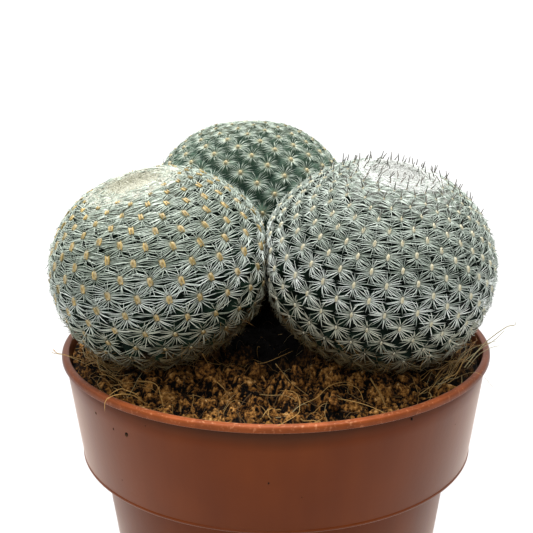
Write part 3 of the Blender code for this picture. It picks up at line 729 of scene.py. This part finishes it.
class Ball:
    """Places on one head's ball, from directions on a unit ball."""

    def __init__(self, head):
        self.head = head
        self.axes = axes_of(head)
        self.middle = middle_of(head)
        self.walls = walls_between(head)

    def place(self, directions, levels):
        points = self.middle + (directions * np.reshape(levels, (-1, 1))) @ self.axes
        for place, way in self.walls:
            depth = (points - place) @ way
            swell = SWELL * np.interp(points[:, 2], SWELL_HEIGHTS, (0.0, 1.0))
            swell = swell * np.exp(-(depth / SWELL_REACH) ** 2)
            points = points + swell[:, None] * way
        return pressed(points, self.walls)

    def frame(self, directions):
        """Outward, towards the crown, and sideways, at each direction."""
        out = unit(directions @ np.linalg.inv(self.axes).T)
        crown = unit(self.axes[2] - out * (out @ self.axes[2])[:, None])
        return out, crown, np.cross(out, crown)


def shoulder(head, angles):
    """The crown lies in a shallow bowl, and the ball is fullest round it."""
    return head.shoulder * np.interp(angles, (0.0, head.bowl / 2.0, head.bowl, head.bowl + 12.0, 60.0, 95.0),
                                     (-1.6, -1.2, 0.6, 1.0, 0.6, 0.0))


def tip_level(head, angles):
    return TIP_LEVEL + shoulder(head, angles)


def groove_level(head, angles):
    return np.interp(angles, (CROWN_START, CROWN_EDGE), (CROWN_VALLEY, VALLEY_LEVEL)) + shoulder(head, angles)


def make_flesh(ball, material):
    """A ball raised into one cone for each areole, with a groove halfway to each neighbour."""
    head = ball.head
    deselect()
    bpy.ops.mesh.primitive_uv_sphere_add(segments=180, ring_count=96, radius=1.0, location=(0, 0, 0))
    item = bpy.context.object
    item.name = item.data.name = head.name + "_flesh"
    directions = np.empty(len(item.data.vertices) * 3, np.float32)
    item.data.vertices.foreach_get("co", directions)
    directions = unit(directions.reshape(-1, 3).astype(float))
    tips, _ = spiral(head, 4.0, 150.0)
    tree = KDTree(len(tips))
    for number, tip in enumerate(tips):
        tree.insert(tip, number)
    tree.balance()
    distances = np.array([[found[2] for found in tree.find_n(direction, 2)] for direction in directions])
    rise = (distances[:, 1] - distances[:, 0]) / (distances[:, 1] + distances[:, 0])
    rise = np.clip(rise, 0.0, 1.0)
    cone = rise ** 0.8 * (1.0 - 0.25 * rise ** 4)
    angles = np.degrees(np.arccos(np.clip(directions[:, 2], -1.0, 1.0)))
    floor = groove_level(head, angles)
    places = ball.place(directions, floor + (tip_level(head, angles) - floor) * cone / 0.75)
    low = np.clip((angles - NECK_START) / 10.0, 0.0, 1.0)
    for axis, neck in enumerate(neck_of(head)):
        places[:, axis] += low * 0.3 * (neck - places[:, axis])
    places[:, 2] -= low * NECK_DROP
    item.data.vertices.foreach_set("co", (places * MM).astype(np.float32).ravel())
    for key, data in (("tip", rise), ("age", angles / 180.0)):
        item.data.attributes.new(key, "FLOAT", "POINT").data.foreach_set("value", data.astype(np.float32))
    item.data.materials.append(material)
    item.data.polygons.foreach_set("use_smooth", np.full(len(item.data.polygons), True))
    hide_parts(head.name)
    return item


def areoles_of(ball, highest, lowest):
    """Tips of the tubercles, their angles from the crown, and outward, crownward and sideways there."""
    directions, angles = spiral(ball.head, highest, lowest)
    tops = ball.place(directions, tip_level(ball.head, angles))
    return tops, angles, *ball.frame(directions)


def by_angle(angles, places, values):
    """Values that change with the angle from the crown, as a column to spread over each areole's spines."""
    return np.interp(angles, places, values)[:, None]


def make_radials(ball, material, rng, fan):
    """Radial spines: a comb to each side of an upright areole, and a few short ones up and down from it.

    Each spine starts out at its own angle over the sideways line, and bows back towards that line and towards
    the ball. Where two heads meet, a spine that reaches far past the plane between them is left out.
    """
    head = ball.head
    tops, angles, out, crown, side = areoles_of(ball, head.bowl - fan.inward, LOWEST_SPINES)
    high = np.concatenate([np.tile(np.linspace(-1.0, 1.0, fan.comb), 2), np.tile((1.0, -1.0), fan.few)])
    hand = np.concatenate([np.repeat((-1.0, 1.0), fan.comb),
                           np.tile((-1.0, 1.0, 1.0, -1.0), fan.few)[:2 * fan.few]])
    combed = np.arange(len(high)) < 2 * fan.comb
    shape = (len(tops), len(high))
    spread = by_angle(angles, (50.0, 110.0), fan.spread)
    turn = np.where(combed, spread * np.sign(high) * np.abs(high) ** 1.25, 78.0 * high)
    turn = turn + rng.normal(0.0, 1.0, shape) * np.where(combed, 4.0, 9.0)
    bow = np.where(combed, fan.bow * by_angle(angles, (60.0, 105.0), (1.0, 0.25)), 0.1)
    young = by_angle(angles, (12.0, 45.0), (fan.young, 1.0))
    old = by_angle(angles, (80.0, 120.0), (1.0, fan.old))
    length = head.spine_length * young * old * np.where(combed, 1.0 - 0.16 * high ** 2, fan.upright)
    length = (length * rng.normal(1.0, 0.08, shape))[..., None]
    lift = fan.lift * by_angle(angles, (14.0, 30.0, 60.0, 90.0, 125.0), (0.3, 0.7, 1.0, 1.2, 1.5))
    lift = lift + rng.normal(0.0, 1.0, shape) * by_angle(angles, (20.0, 60.0), (3.0, 5.5))
    size = by_angle(angles, (20.0, 50.0), (0.5, 1.0))[..., None]
    root = (tops[:, None] + size * fan.oval[0] * high[:, None] * crown[:, None]
            + size * fan.oval[1] * (hand * np.sqrt(1.0 - 0.96 * high ** 2))[:, None] * side[:, None]
            - 0.1 * out[:, None])
    points = [root]
    for first, last in zip(fan.joints, fan.joints[1:]):
        middle = (first + last) / 2.0
        bearing = np.radians(turn * (1.0 - bow * middle))[..., None]
        rise = np.radians(lift - fan.fall * middle)[..., None]
        flat = side[:, None] * hand[:, None] * np.cos(bearing) + crown[:, None] * np.sin(bearing)
        step = flat * np.cos(rise) + out[:, None] * np.sin(rise)
        points.append(points[-1] + length * (last - first) * step)
    paths = np.stack(points, axis=2)
    ages = np.broadcast_to(angles[:, None] / 180.0, shape)
    kept = rng.random(shape) > by_angle(angles, (28.0, 50.0, 80.0, 100.0, 122.0, 140.0),
                                        (fan.sparse, 0.0, 0.0, 0.2, 0.2, 0.6))
    for place, way in ball.walls:
        kept &= (paths[..., -1, :] - place) @ way < rng.exponential(CROWDING, shape)
    return strands(head.name + "_radial_spines", pressed(paths[kept], ball.walls, -SPINE_OVERLAP), fan.widths,
                   3, material, {"tone": rng.random(int(kept.sum())), "age": ages[kept]})


def make_pads(ball, material, highest, width, height):
    """A felted areole on every tubercle: a low oval cushion, longer towards the crown."""
    tops, angles, out, crown, side = areoles_of(ball, highest, LOWEST_AREOLES)
    shape, faces = ball_shape(1)
    size = by_angle(angles, (20.0, 50.0, 85.0, 118.0), (0.3, 1.0, 1.0, 0.55))[..., None]
    corners = tops[:, None] + size * (
        side[:, None] * shape[None, :, :1] * width / 2 + crown[:, None] * shape[None, :, 1:2] * height / 2
        + out[:, None] * shape[None, :, 2:] * 0.5)
    faces = faces[None] + (np.arange(len(tops)) * len(shape))[:, None, None]
    heart = np.clip(shape[:, 2], 0.0, 1.0)
    return piece_from(ball.head.name + "_areoles", corners.reshape(-1, 3), faces.reshape(-1, 3), material,
                      True, {"heart": np.tile(heart, len(tops))})


def make_centrals(ball, material, rng, look):
    """Central spines: a tapered stub or two on each areole, looser near the crown where they lean out."""
    tops, angles, out, crown, side = areoles_of(ball, look.first_stub, LOWEST_AREOLES)
    paths = []
    for shift, start, lean in look.stubs:
        length = (np.interp(angles, *look.length) * rng.normal(1.0, 0.08, len(angles)))[:, None]
        loose = np.interp(angles, (30.0, 60.0), (1.0 + lean / 25.0, 1.0))
        tilt = np.radians(lean + rng.normal(0.0, 5.0, len(angles)) * loose)[:, None]
        sway = (rng.normal(0.0, 0.08, len(angles)) * loose)[:, None]
        heading = unit(crown * np.cos(tilt) + out * np.sin(tilt) + side * sway)
        root = tops + out * 0.14 + side * shift + crown * (start * length)
        points = [root + heading * length * share for share in (0.0, 0.15, 0.5, 0.85, 1.0)]
        paths.append(np.stack(points, axis=1))
    paths = pressed(np.concatenate(paths), ball.walls, -SPINE_OVERLAP)
    return strands(ball.head.name + "_central_spines", paths, look.widths, 4, material,
                   {"tone": rng.random(len(paths)), "age": np.tile(angles / 180.0, len(look.stubs))})


def make_wool(ball, material, rng, count, length, reach, lift):
    """Fine hairs of the crown: in its bowl they stand up and lean to its middle, and round it they lie."""
    polar = np.radians(reach) * rng.random(count) ** 0.55
    bearing = rng.random(count) * math.tau
    directions = ball_directions(polar, bearing)
    roots = ball.place(directions, tip_level(ball.head, np.degrees(polar)) - 0.004)
    out, crown, side = ball.frame(directions)
    inside = np.clip((ball.head.bowl - 1.0 - np.degrees(polar)) / 8.0, 0.0, 1.0)
    lying = math.pi / 2 * rng.choice((-1.0, 1.0), count) + rng.normal(0.0, 0.4, count)
    turn = np.where(rng.random(count) < inside, rng.normal(0.0, 0.7, count), lying)[:, None]
    way = crown * np.cos(turn) + side * np.sin(turn)
    curl = crown * np.cos(turn + 1.5) + side * np.sin(turn + 1.5)
    size = length * rng.uniform(0.7, 1.3, (count, 1))
    stand = lift * inside[:, None]
    paths = []
    for share in (0.0, 0.35, 0.75, 1.0):
        rise = share * stand + 0.1 * math.sin(share * math.pi)
        reached = share * (1.0 - 0.5 * stand) * way + out * rise + curl * 0.3 * share ** 2
        paths.append(roots + size * reached)
    whiter = np.clip((np.degrees(polar) - ball.head.bowl + 4.0) / 6.0, 0.0, 1.0)
    tone = 0.6 * rng.random(count) + 0.4 * whiter
    return strands(ball.head.name + "_crown_wool", pressed(np.stack(paths, axis=1), ball.walls),
                   (0.10, 0.10, 0.08, 0.0), 3, material, {"tone": tone})


def make_dead_hair(ball, material, rng):
    """Old spines and hairs that hang round the foot of a ball, in a dusty tangle over the soil."""
    count = DEAD_HAIRS
    polar = np.radians(rng.uniform(114.0, 152.0, count))
    directions = ball_directions(polar, rng.random(count) * math.tau)
    roots = ball.place(directions, np.full(count, TIP_LEVEL - 0.02))
    out, crown, side = ball.frame(directions)
    way = unit(side * rng.normal(0.0, 1.0, (count, 1)) - crown * rng.uniform(-0.2, 0.9, (count, 1))
               + out * rng.uniform(0.0, 0.3, (count, 1)))
    curl = np.cross(way, out) * rng.normal(0.0, 0.5, (count, 1))
    size = rng.uniform(1.5, 3.5, (count, 1)) * np.where(rng.random((count, 1)) < 0.05, 2.0, 1.0)
    paths = []
    for share in (0.0, 0.35, 0.7, 1.0):
        sag = share ** 2 * np.array([0.0, 0.0, 0.25])
        paths.append(roots + size * (share * way + share ** 2 * curl - sag))
    paths = np.stack(paths, axis=1)
    paths[..., 2] = np.maximum(paths[..., 2], soil_height(paths[..., 0], paths[..., 1]) + 0.3)
    return strands(ball.head.name + "_dead_hair", pressed(paths, ball.walls), (0.13, 0.12, 0.10, 0.0), 3,
                   material, {"tone": rng.uniform(0.1, 0.7, count)})


def make_heads():
    dead = root_fibre()
    for seed, head in enumerate(HEADS):
        look = LOOKS[head.name]
        rng = np.random.default_rng(40 + seed)
        ball = Ball(head)
        first_pad = max(20.0, look.first_stub)
        pieces = [
            make_flesh(ball, cactus_flesh(head.name + "_skin", *look.flesh)),
            make_radials(ball, spine_horn(head.name + "_radial_horn", *look.spine), rng, look.fan),
            make_pads(ball, areole_felt(head.name + "_felt", *look.felt), first_pad, *look.pad),
            make_centrals(ball, spine_horn(head.name + "_central_horn", *look.centre), rng, look),
            make_wool(ball, crown_wool(head.name + "_wool", *look.wool), rng, *look.hairs),
            make_dead_hair(ball, dead, rng),
        ]
        for piece in pieces:
            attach(piece, BODY)


# The soil

def soil_height(x, y):
    """Height of the soil's top: lowest at the wall, drawn up to each plant, and clear under each ball."""
    waves = sum(np.sin(across * x + along * y + phase) for across, along, phase in SOIL_WAVES)
    height = POT_HEIGHT - SOIL_DROP + SOIL_WAVE * (waves / len(SOIL_WAVES))
    for head in HEADS:
        height = height + SOIL_RISE * np.exp(-((from_neck(head, x, y) / SOIL_RISE_REACH) ** 2))
    for drift_x, drift_y in DRIFTS:
        height = height + SOIL_DRIFT * np.exp(-(((x - drift_x) / DRIFT_SPREAD[0]) ** 2
                                                + ((y - drift_y) / DRIFT_SPREAD[1]) ** 2))
    for head in HEADS:
        height = np.minimum(height, underside(head, x, y) - UNDER_BALL)
    return height


def soil_at(x, y):
    """Height of the soil's top at one place."""
    return float(soil_height(np.array(x), np.array(y)))


def shade_and_damp_of(x, y):
    """How dark the soil is painted: dry in the open; darker near and between the plants as painted shade, and
    in the side patches as painted shade with damp.
    """
    near = np.minimum.reduce([from_neck(head, x, y) for head in HEADS])
    shades = [(15.0 - near) / 9.0, (24.0 - np.hypot(x, y + 2.0)) / 9.0]
    for patch_x, patch_y, reach, most in SHADE_AND_DAMP_PATCHES:
        shades.append(np.minimum((reach - np.hypot(x - patch_x, y - patch_y)) / 10.0, most))
    return np.clip(np.maximum.reduce(shades), 0.0, 1.0)


def crumble(x, y):
    """Height and tone of the broken surface: clods, the crumbs in them and fine grains, with pores and cracks
    painted dark as shade.
    """
    height, tone = np.empty_like(x), np.empty_like(x)
    for number, (a, b) in enumerate(zip(x, y)):
        place = Vector((a, b, 0.0))
        ragged = (place + 2.0 * noise.noise_vector(place / 4.5) + 0.9 * noise.noise_vector(place / 1.6)
                  + 0.4 * noise.noise_vector(place / 0.6))
        clod, _ = noise.voronoi(ragged / CLOD)
        split = min(1.0, (clod[1] - clod[0]) * 3.0)
        crumb, seeds = noise.voronoi(ragged / CRUMB + Vector((0.0, 0.0, 7.0)))
        crack = min(1.0, (crumb[1] - crumb[0]) * 2.2)
        grain = noise.fractal(place / GRAIN, 0.8, 2.0, 3)
        height[number] = (2.4 * (0.3 - clod[0] ** 2) + 1.3 * (split - 0.8) + 0.5 * (0.3 - crumb[0] ** 2)
                          + 0.2 * (crack - 0.6) + 0.4 * grain + 1.8 * noise.noise(place / 6.0))
        own = math.sin(seeds[0].x * 127.1 + seeds[0].y * 311.7)
        # Darker along the cracks between clods and crumbs: painted shade; the grains and each crumb's own
        # shade vary at random
        tone[number] = 0.06 + 0.20 * split + 0.12 * crack + 0.22 * grain + 0.04 * own
    return height, tone


def soil_wall():
    """Radius and height up the side of the fill, just inside the pot."""
    edge_height = POT_HEIGHT - SOIL_EDGE_DROP
    return (
        (body_radius(WALL) - WALL - 1.1, WALL + PLAY),
        (body_radius(WALL) - WALL - PLAY, WALL + 1.3),
        (BODY_TOP_RADIUS - WALL - PLAY - 0.1, STEP_HEIGHT + 0.2),
        (BODY_TOP_RADIUS - WALL + 0.4, STEP_HEIGHT + WALL + PLAY),
        (COLLAR_FOOT_RADIUS - WALL - 1.5, STEP_HEIGHT + WALL + PLAY),
        (COLLAR_FOOT_RADIUS - WALL - PLAY, STEP_HEIGHT + 2.1),
        (collar_inner_radius(edge_height) - 1.5 * PLAY, edge_height),
    )


def make_soil():
    """The fill of the pot, closed all round, with its top broken into crumbs."""
    around, wall = SOIL_STEPS, soil_wall()
    rim = collar_inner_radius(POT_HEIGHT - 3.0) - 0.4
    radii = np.concatenate([np.linspace(rim, 18.0, 77), np.linspace(16.8, 0.7, 12)])
    turn = np.arange(around) * math.tau / around
    corners = [np.stack([r * np.cos(turn), r * np.sin(turn), np.full(around, z)], 1) for r, z in wall]
    tone = [np.zeros(around * len(wall))]
    for radius in radii:
        x, y = radius * np.cos(turn), radius * np.sin(turn)
        relief, shade = crumble(x, y)
        z = soil_height(x, y) + relief
        for head in HEADS:
            z = np.minimum(z, underside(head, x, y) - UNDER_BALL / 2)
        corners.append(np.stack([x, y, z], 1))
        tone.append(shade)
    rows = len(wall) + len(radii)
    ring = np.arange(around)[None]
    start = np.arange(rows - 1)[:, None] * around
    low, follow = (start + ring).ravel(), (start + (ring + 1) % around).ravel()
    faces = np.stack([low, follow, follow + around, low + around], 1).tolist()
    last, base = (rows - 1) * around, rows * around
    faces += [(base, (side + 1) % around, side) for side in range(around)]
    faces += [(base + 1, last + side, last + (side + 1) % around) for side in range(around)]
    ends = np.array([[0.0, 0.0, WALL + PLAY], [0.0, 0.0, corners[-1][:, 2].mean()]])
    whole = np.concatenate(corners + [ends])
    tone = np.concatenate(tone + [np.array([0.0, 0.3])])
    soil = piece_from("soil_fill", whole, faces, peaty_soil(), True,
                      {"tone": tone, "damp_and_shade": shade_and_damp_of(whole[:, 0], whole[:, 1])})
    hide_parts("soil")
    return soil


def on_open_soil(rng, count, edge):
    """Random places on the soil's top, away from the wall and from under the plants."""
    places = []
    while len(places) < count:
        radius, turn = edge * math.sqrt(rng.random()), rng.random() * math.tau
        x, y = radius * math.cos(turn), radius * math.sin(turn)
        covered = min(float(underside(head, np.array(x), np.array(y))) for head in HEADS)
        if covered > POT_HEIGHT + 3.0:
            places.append((x, y))
    return np.array(places)


def rough_balls(shape):
    """Lumpy balls that the crumbs are copied from."""
    models = []
    for variant in range(CRUMB_MODELS):
        rough = [1.0 + 0.75 * noise.noise(Vector(point) * 1.9 + Vector((variant * 7.3, 0.0, 0.0)))
                 + 0.40 * noise.noise(Vector(point) * 4.5 + Vector((0.0, variant * 5.1, 0.0)))
                 for point in shape]
        models.append(shape * np.array(rough)[:, None])
    return models


def make_crumbs(rng, soil_material):
    """Loose crumbs and a few clods, copied from rough balls, lying on the soil."""
    crumb_shape, crumb_faces = ball_shape(1)
    clod_shape, clod_faces = ball_shape(2)
    crumb_models, clod_models = rough_balls(crumb_shape), rough_balls(clod_shape)
    places = on_open_soil(rng, LOOSE_CRUMBS, 49.0)
    sizes = 0.12 + 0.50 * rng.random(len(places)) ** 3
    places = np.concatenate([places, [clod[:2] for clod in CLODS]])
    sizes = np.concatenate([sizes, [clod[2] for clod in CLODS]])
    heights = soil_height(places[:, 0], places[:, 1])
    corners, faces, tones, made = [], [], [], 0
    for number, ((x, y), size, height) in enumerate(zip(places, sizes, heights)):
        loose = number < LOOSE_CRUMBS
        turn = np.array(Matrix.Rotation(rng.random() * math.tau, 3, Vector(rng.normal(size=3)).normalized()))
        stretch = rng.uniform(0.4, 1.5, 3)
        model = (crumb_models if loose else clod_models)[number % CRUMB_MODELS] * stretch @ turn.T
        bumps = float(crumble(np.array([x]), np.array([y]))[0][0]) if loose else 0.0
        corners.append(model * size + (x, y, height + bumps + 0.3 * size + rng.uniform(-0.1, 0.3)))
        faces.append((crumb_faces if loose else clod_faces) + made)
        made += len(model)
        tones.append(np.full(len(model), rng.uniform(0.05, 0.36) if loose else rng.uniform(0.2, 0.32)))
    whole = np.concatenate(corners)
    return piece_from("soil_crumbs", whole, [face for part in faces for face in part], soil_material, False,
                      {"tone": np.concatenate(tones), "damp_and_shade": shade_and_damp_of(whole[:, 0], whole[:, 1])})


def through(points, count):
    """A smooth path through a few points, evenly stepped."""
    points = np.asarray(points, float)
    ends = np.concatenate([[2 * points[0] - points[1]], points, [2 * points[-1] - points[-2]]])
    path = []
    for spot in np.linspace(0.0, len(points) - 1.001, count):
        first = int(spot)
        t = spot - first
        a, b, c, d = ends[first:first + 4]
        path.append(0.5 * (2 * b + (c - a) * t + (2 * a - 5 * b + 4 * c - d) * t * t
                           + (3 * b - a - 3 * c + d) * t ** 3))
    return path


def chance_root(rng, x, y):
    """A root that arcs over the soil from one place on it, shorter between the plants."""
    length = rng.uniform(4.0, 17.0) * (0.4 if math.hypot(x, y) < 24.0 else 1.0)
    heading, turn = rng.random() * math.tau, rng.normal(0.0, 0.16)
    hop = rng.uniform(0.3, 2.2)
    path = []
    for share in np.linspace(0.0, 1.0, ROOT_POINTS):
        away = math.hypot(x, y)
        if away > SOIL_EDGE:
            x, y = x * SOIL_EDGE / away, y * SOIL_EDGE / away
        path.append((x, y, soil_at(x, y) - 0.3 + hop * math.sin(math.pi * share) + rng.normal(0.0, 0.07)))
        heading += turn + rng.normal(0.0, 0.12)
        x += length / ROOT_POINTS * math.cos(heading)
        y += length / ROOT_POINTS * math.sin(heading)
    return path


def coir_strand(rng, centre, spread, bearing):
    """A strand of a bundle: nearly straight, slightly arched, and climbing where it nears the wall."""
    x, y = rng.normal(centre, spread)
    along = bearing + rng.normal(0.0, 0.22)
    half = rng.uniform(4.0, 9.0)
    bow, reach = rng.uniform(0.1, 0.8), rng.uniform(45.5, SOIL_EDGE)
    path = []
    for share in np.linspace(-1.0, 1.0, ROOT_POINTS):
        px, py = x + half * share * math.cos(along), y + half * share * math.sin(along) - 0.3 * share ** 2
        away = math.hypot(px, py)
        inward, climb = min(1.0, reach / away), 0.35 * max(0.0, away - 44.0)
        px, py = px * inward, py * inward
        height = soil_at(px, py) + 0.5 + bow * (1.0 - share ** 2) + climb
        path.append((px, py, height + rng.normal(0.0, 0.05)))
    return path


def make_roots(rng):
    """Fine roots and coir: those of the photograph, others by chance, and the bundles against the wall."""
    paths = [through(root[1:], ROOT_POINTS) for root in ROOTS]
    widths = [ROOT_SHRINK * root[0] for root in ROOTS]
    for x, y in on_open_soil(rng, OTHER_ROOTS, 49.5):
        paths.append(chance_root(rng, x, y))
        widths.append(rng.choice((0.10, 0.14, 0.18, 0.28), p=(0.4, 0.3, 0.2, 0.1)))
    bundled = 0
    for centre, spread, bearing, count in BUNDLES:
        bundled += count
        for _ in range(count):
            paths.append(coir_strand(rng, centre, spread, bearing))
            widths.append(rng.uniform(0.10, 0.2))
    taper = np.linspace(1.0, 0.45, ROOT_POINTS)
    taper[-1] = 0.0
    tone = rng.uniform(0.15, 1.0, len(paths))
    tone[-bundled:] = rng.uniform(0.45, 1.1, bundled)
    tone[:len(ROOTS)] = rng.uniform(0.64, 0.92, len(ROOTS))
    for number, root in enumerate(ROOTS):
        if root[1][0] > PALE_SIDE:
            tone[number] = 1.0
    return strands("loose_roots", paths, np.array(widths)[:, None] * taper, 4, root_fibre(), {"tone": tone})


def make_specks(soil_material):
    """Specks of soil that stick to the outside of the pot: those of the photograph, and others by chance."""
    rng = np.random.default_rng(11)
    others = [(rng.uniform(-180.0, 180.0), rng.uniform(20.0, 86.0), rng.uniform(0.12, 0.3))
              for _ in range(OTHER_SPECKS)]
    shape, shape_faces = ball_shape(1)
    corners, faces = [], []
    for number, (bearing, height, size) in enumerate([*SPECKS, *others]):
        turn = math.radians(bearing)
        on_collar = height > STEP_HEIGHT + 1.0
        radius = collar_inner_radius(height) + WALL if on_collar else body_radius(height)
        out = np.array([math.cos(turn), math.sin(turn), 0.0])
        along = np.array([-out[1], out[0], 0.0])
        local = shape * size * (0.35, rng.uniform(0.5, 0.8), rng.uniform(0.5, 1.1))
        local = local * rng.uniform(0.8, 1.2, (len(shape), 1))
        place = out * (radius - 0.03) + (0.0, 0.0, height)
        corners.append(place + local[:, :1] * out + local[:, 1:2] * along + local[:, 2:] * (0.0, 0.0, 1.0))
        faces += (shape_faces + number * len(shape)).tolist()
    whole = np.concatenate(corners)
    return piece_from("pot_specks", whole, faces, soil_material, True,
                      {"tone": np.full(len(whole), 0.15), "damp_and_shade": np.full(len(whole), 0.6)})


def make_ground():
    rng = np.random.default_rng(7)
    soil = make_soil()
    peat = soil.data.materials[0]
    for piece in (soil, make_crumbs(rng, peat), make_roots(rng), make_specks(peat)):
        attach(piece, BODY)


# The studio

def make_stage():
    """A paper floor, a white surround that glows more from behind than from the front, and two lamps."""
    deselect()
    bpy.ops.mesh.primitive_plane_add(size=60.0, location=(0, 0, 0))
    floor = bpy.context.object
    floor.name = "studio_floor"
    floor.data.materials.append(studio_paper())
    world = bpy.data.worlds.new("studio")
    bpy.context.scene.world = world
    world.use_nodes = True
    tree = world.node_tree
    fill = tree.nodes["Background"]
    way = add_node(tree, "TexCoord")
    parts = add_node(tree, "SeparateXYZ", {"Vector": (way, "Generated")})
    glow = add_node(tree, "MapRange", {"Value": (parts, "Y"), "From Min": -1.0, "To Min": 0.05,
                                       "To Max": 1.15})
    set_sockets(tree, fill, {"Color": (1.0, 1.0, 1.0, 1.0), "Strength": (glow, "Result")})
    seen = add_node(tree, "Background", {"Color": (1.0, 1.0, 1.0, 1.0), "Strength": 1.0})
    rays = add_node(tree, "LightPath")
    mix = add_node(tree, "MixShader", {"Fac": (rays, "Is Camera Ray"), 1: (fill, "Background"),
                                       2: (seen, "Background")})
    set_sockets(tree, tree.nodes["World Output"], {"Surface": (mix, "Shader")})
    for name, energy, spread, tilt, turn in LAMPS:
        light = bpy.data.lights.new(name, "SUN")
        light.energy = energy
        light.angle = math.radians(spread)
        link_object(name, light).rotation_euler = (math.radians(tilt), 0.0, math.radians(turn))


def make_camera():
    scene = bpy.context.scene
    data = bpy.data.cameras.new("photo_camera")
    data.sensor_width = SENSOR
    data.lens = FOCAL_PIXELS * SENSOR / IMAGE_SIDE
    data.clip_start = 0.01
    data.clip_end = 100.0
    camera = link_object("photo_camera", data)
    level = math.cos(CAMERA_PITCH)
    forward = Vector((math.sin(CAMERA_YAW) * level, math.cos(CAMERA_YAW) * level, -math.sin(CAMERA_PITCH)))
    right = Vector((math.cos(CAMERA_YAW), -math.sin(CAMERA_YAW), 0.0))
    above = right.cross(forward)
    c, s = math.cos(CAMERA_ROLL), math.sin(CAMERA_ROLL)
    across, up = c * right - s * above, s * right + c * above
    turn = Matrix((across, up, -forward)).transposed().to_4x4()
    camera.matrix_world = Matrix.Translation(Vector((0.0, -CAMERA_BACK, CAMERA_HEIGHT)) * MM) @ turn
    scene.camera = camera
    scene.view_settings.view_transform = "Standard"
    scene.view_settings.look = "None"


make_camera()
make_stage()
make_pot()
make_ground()
make_heads()
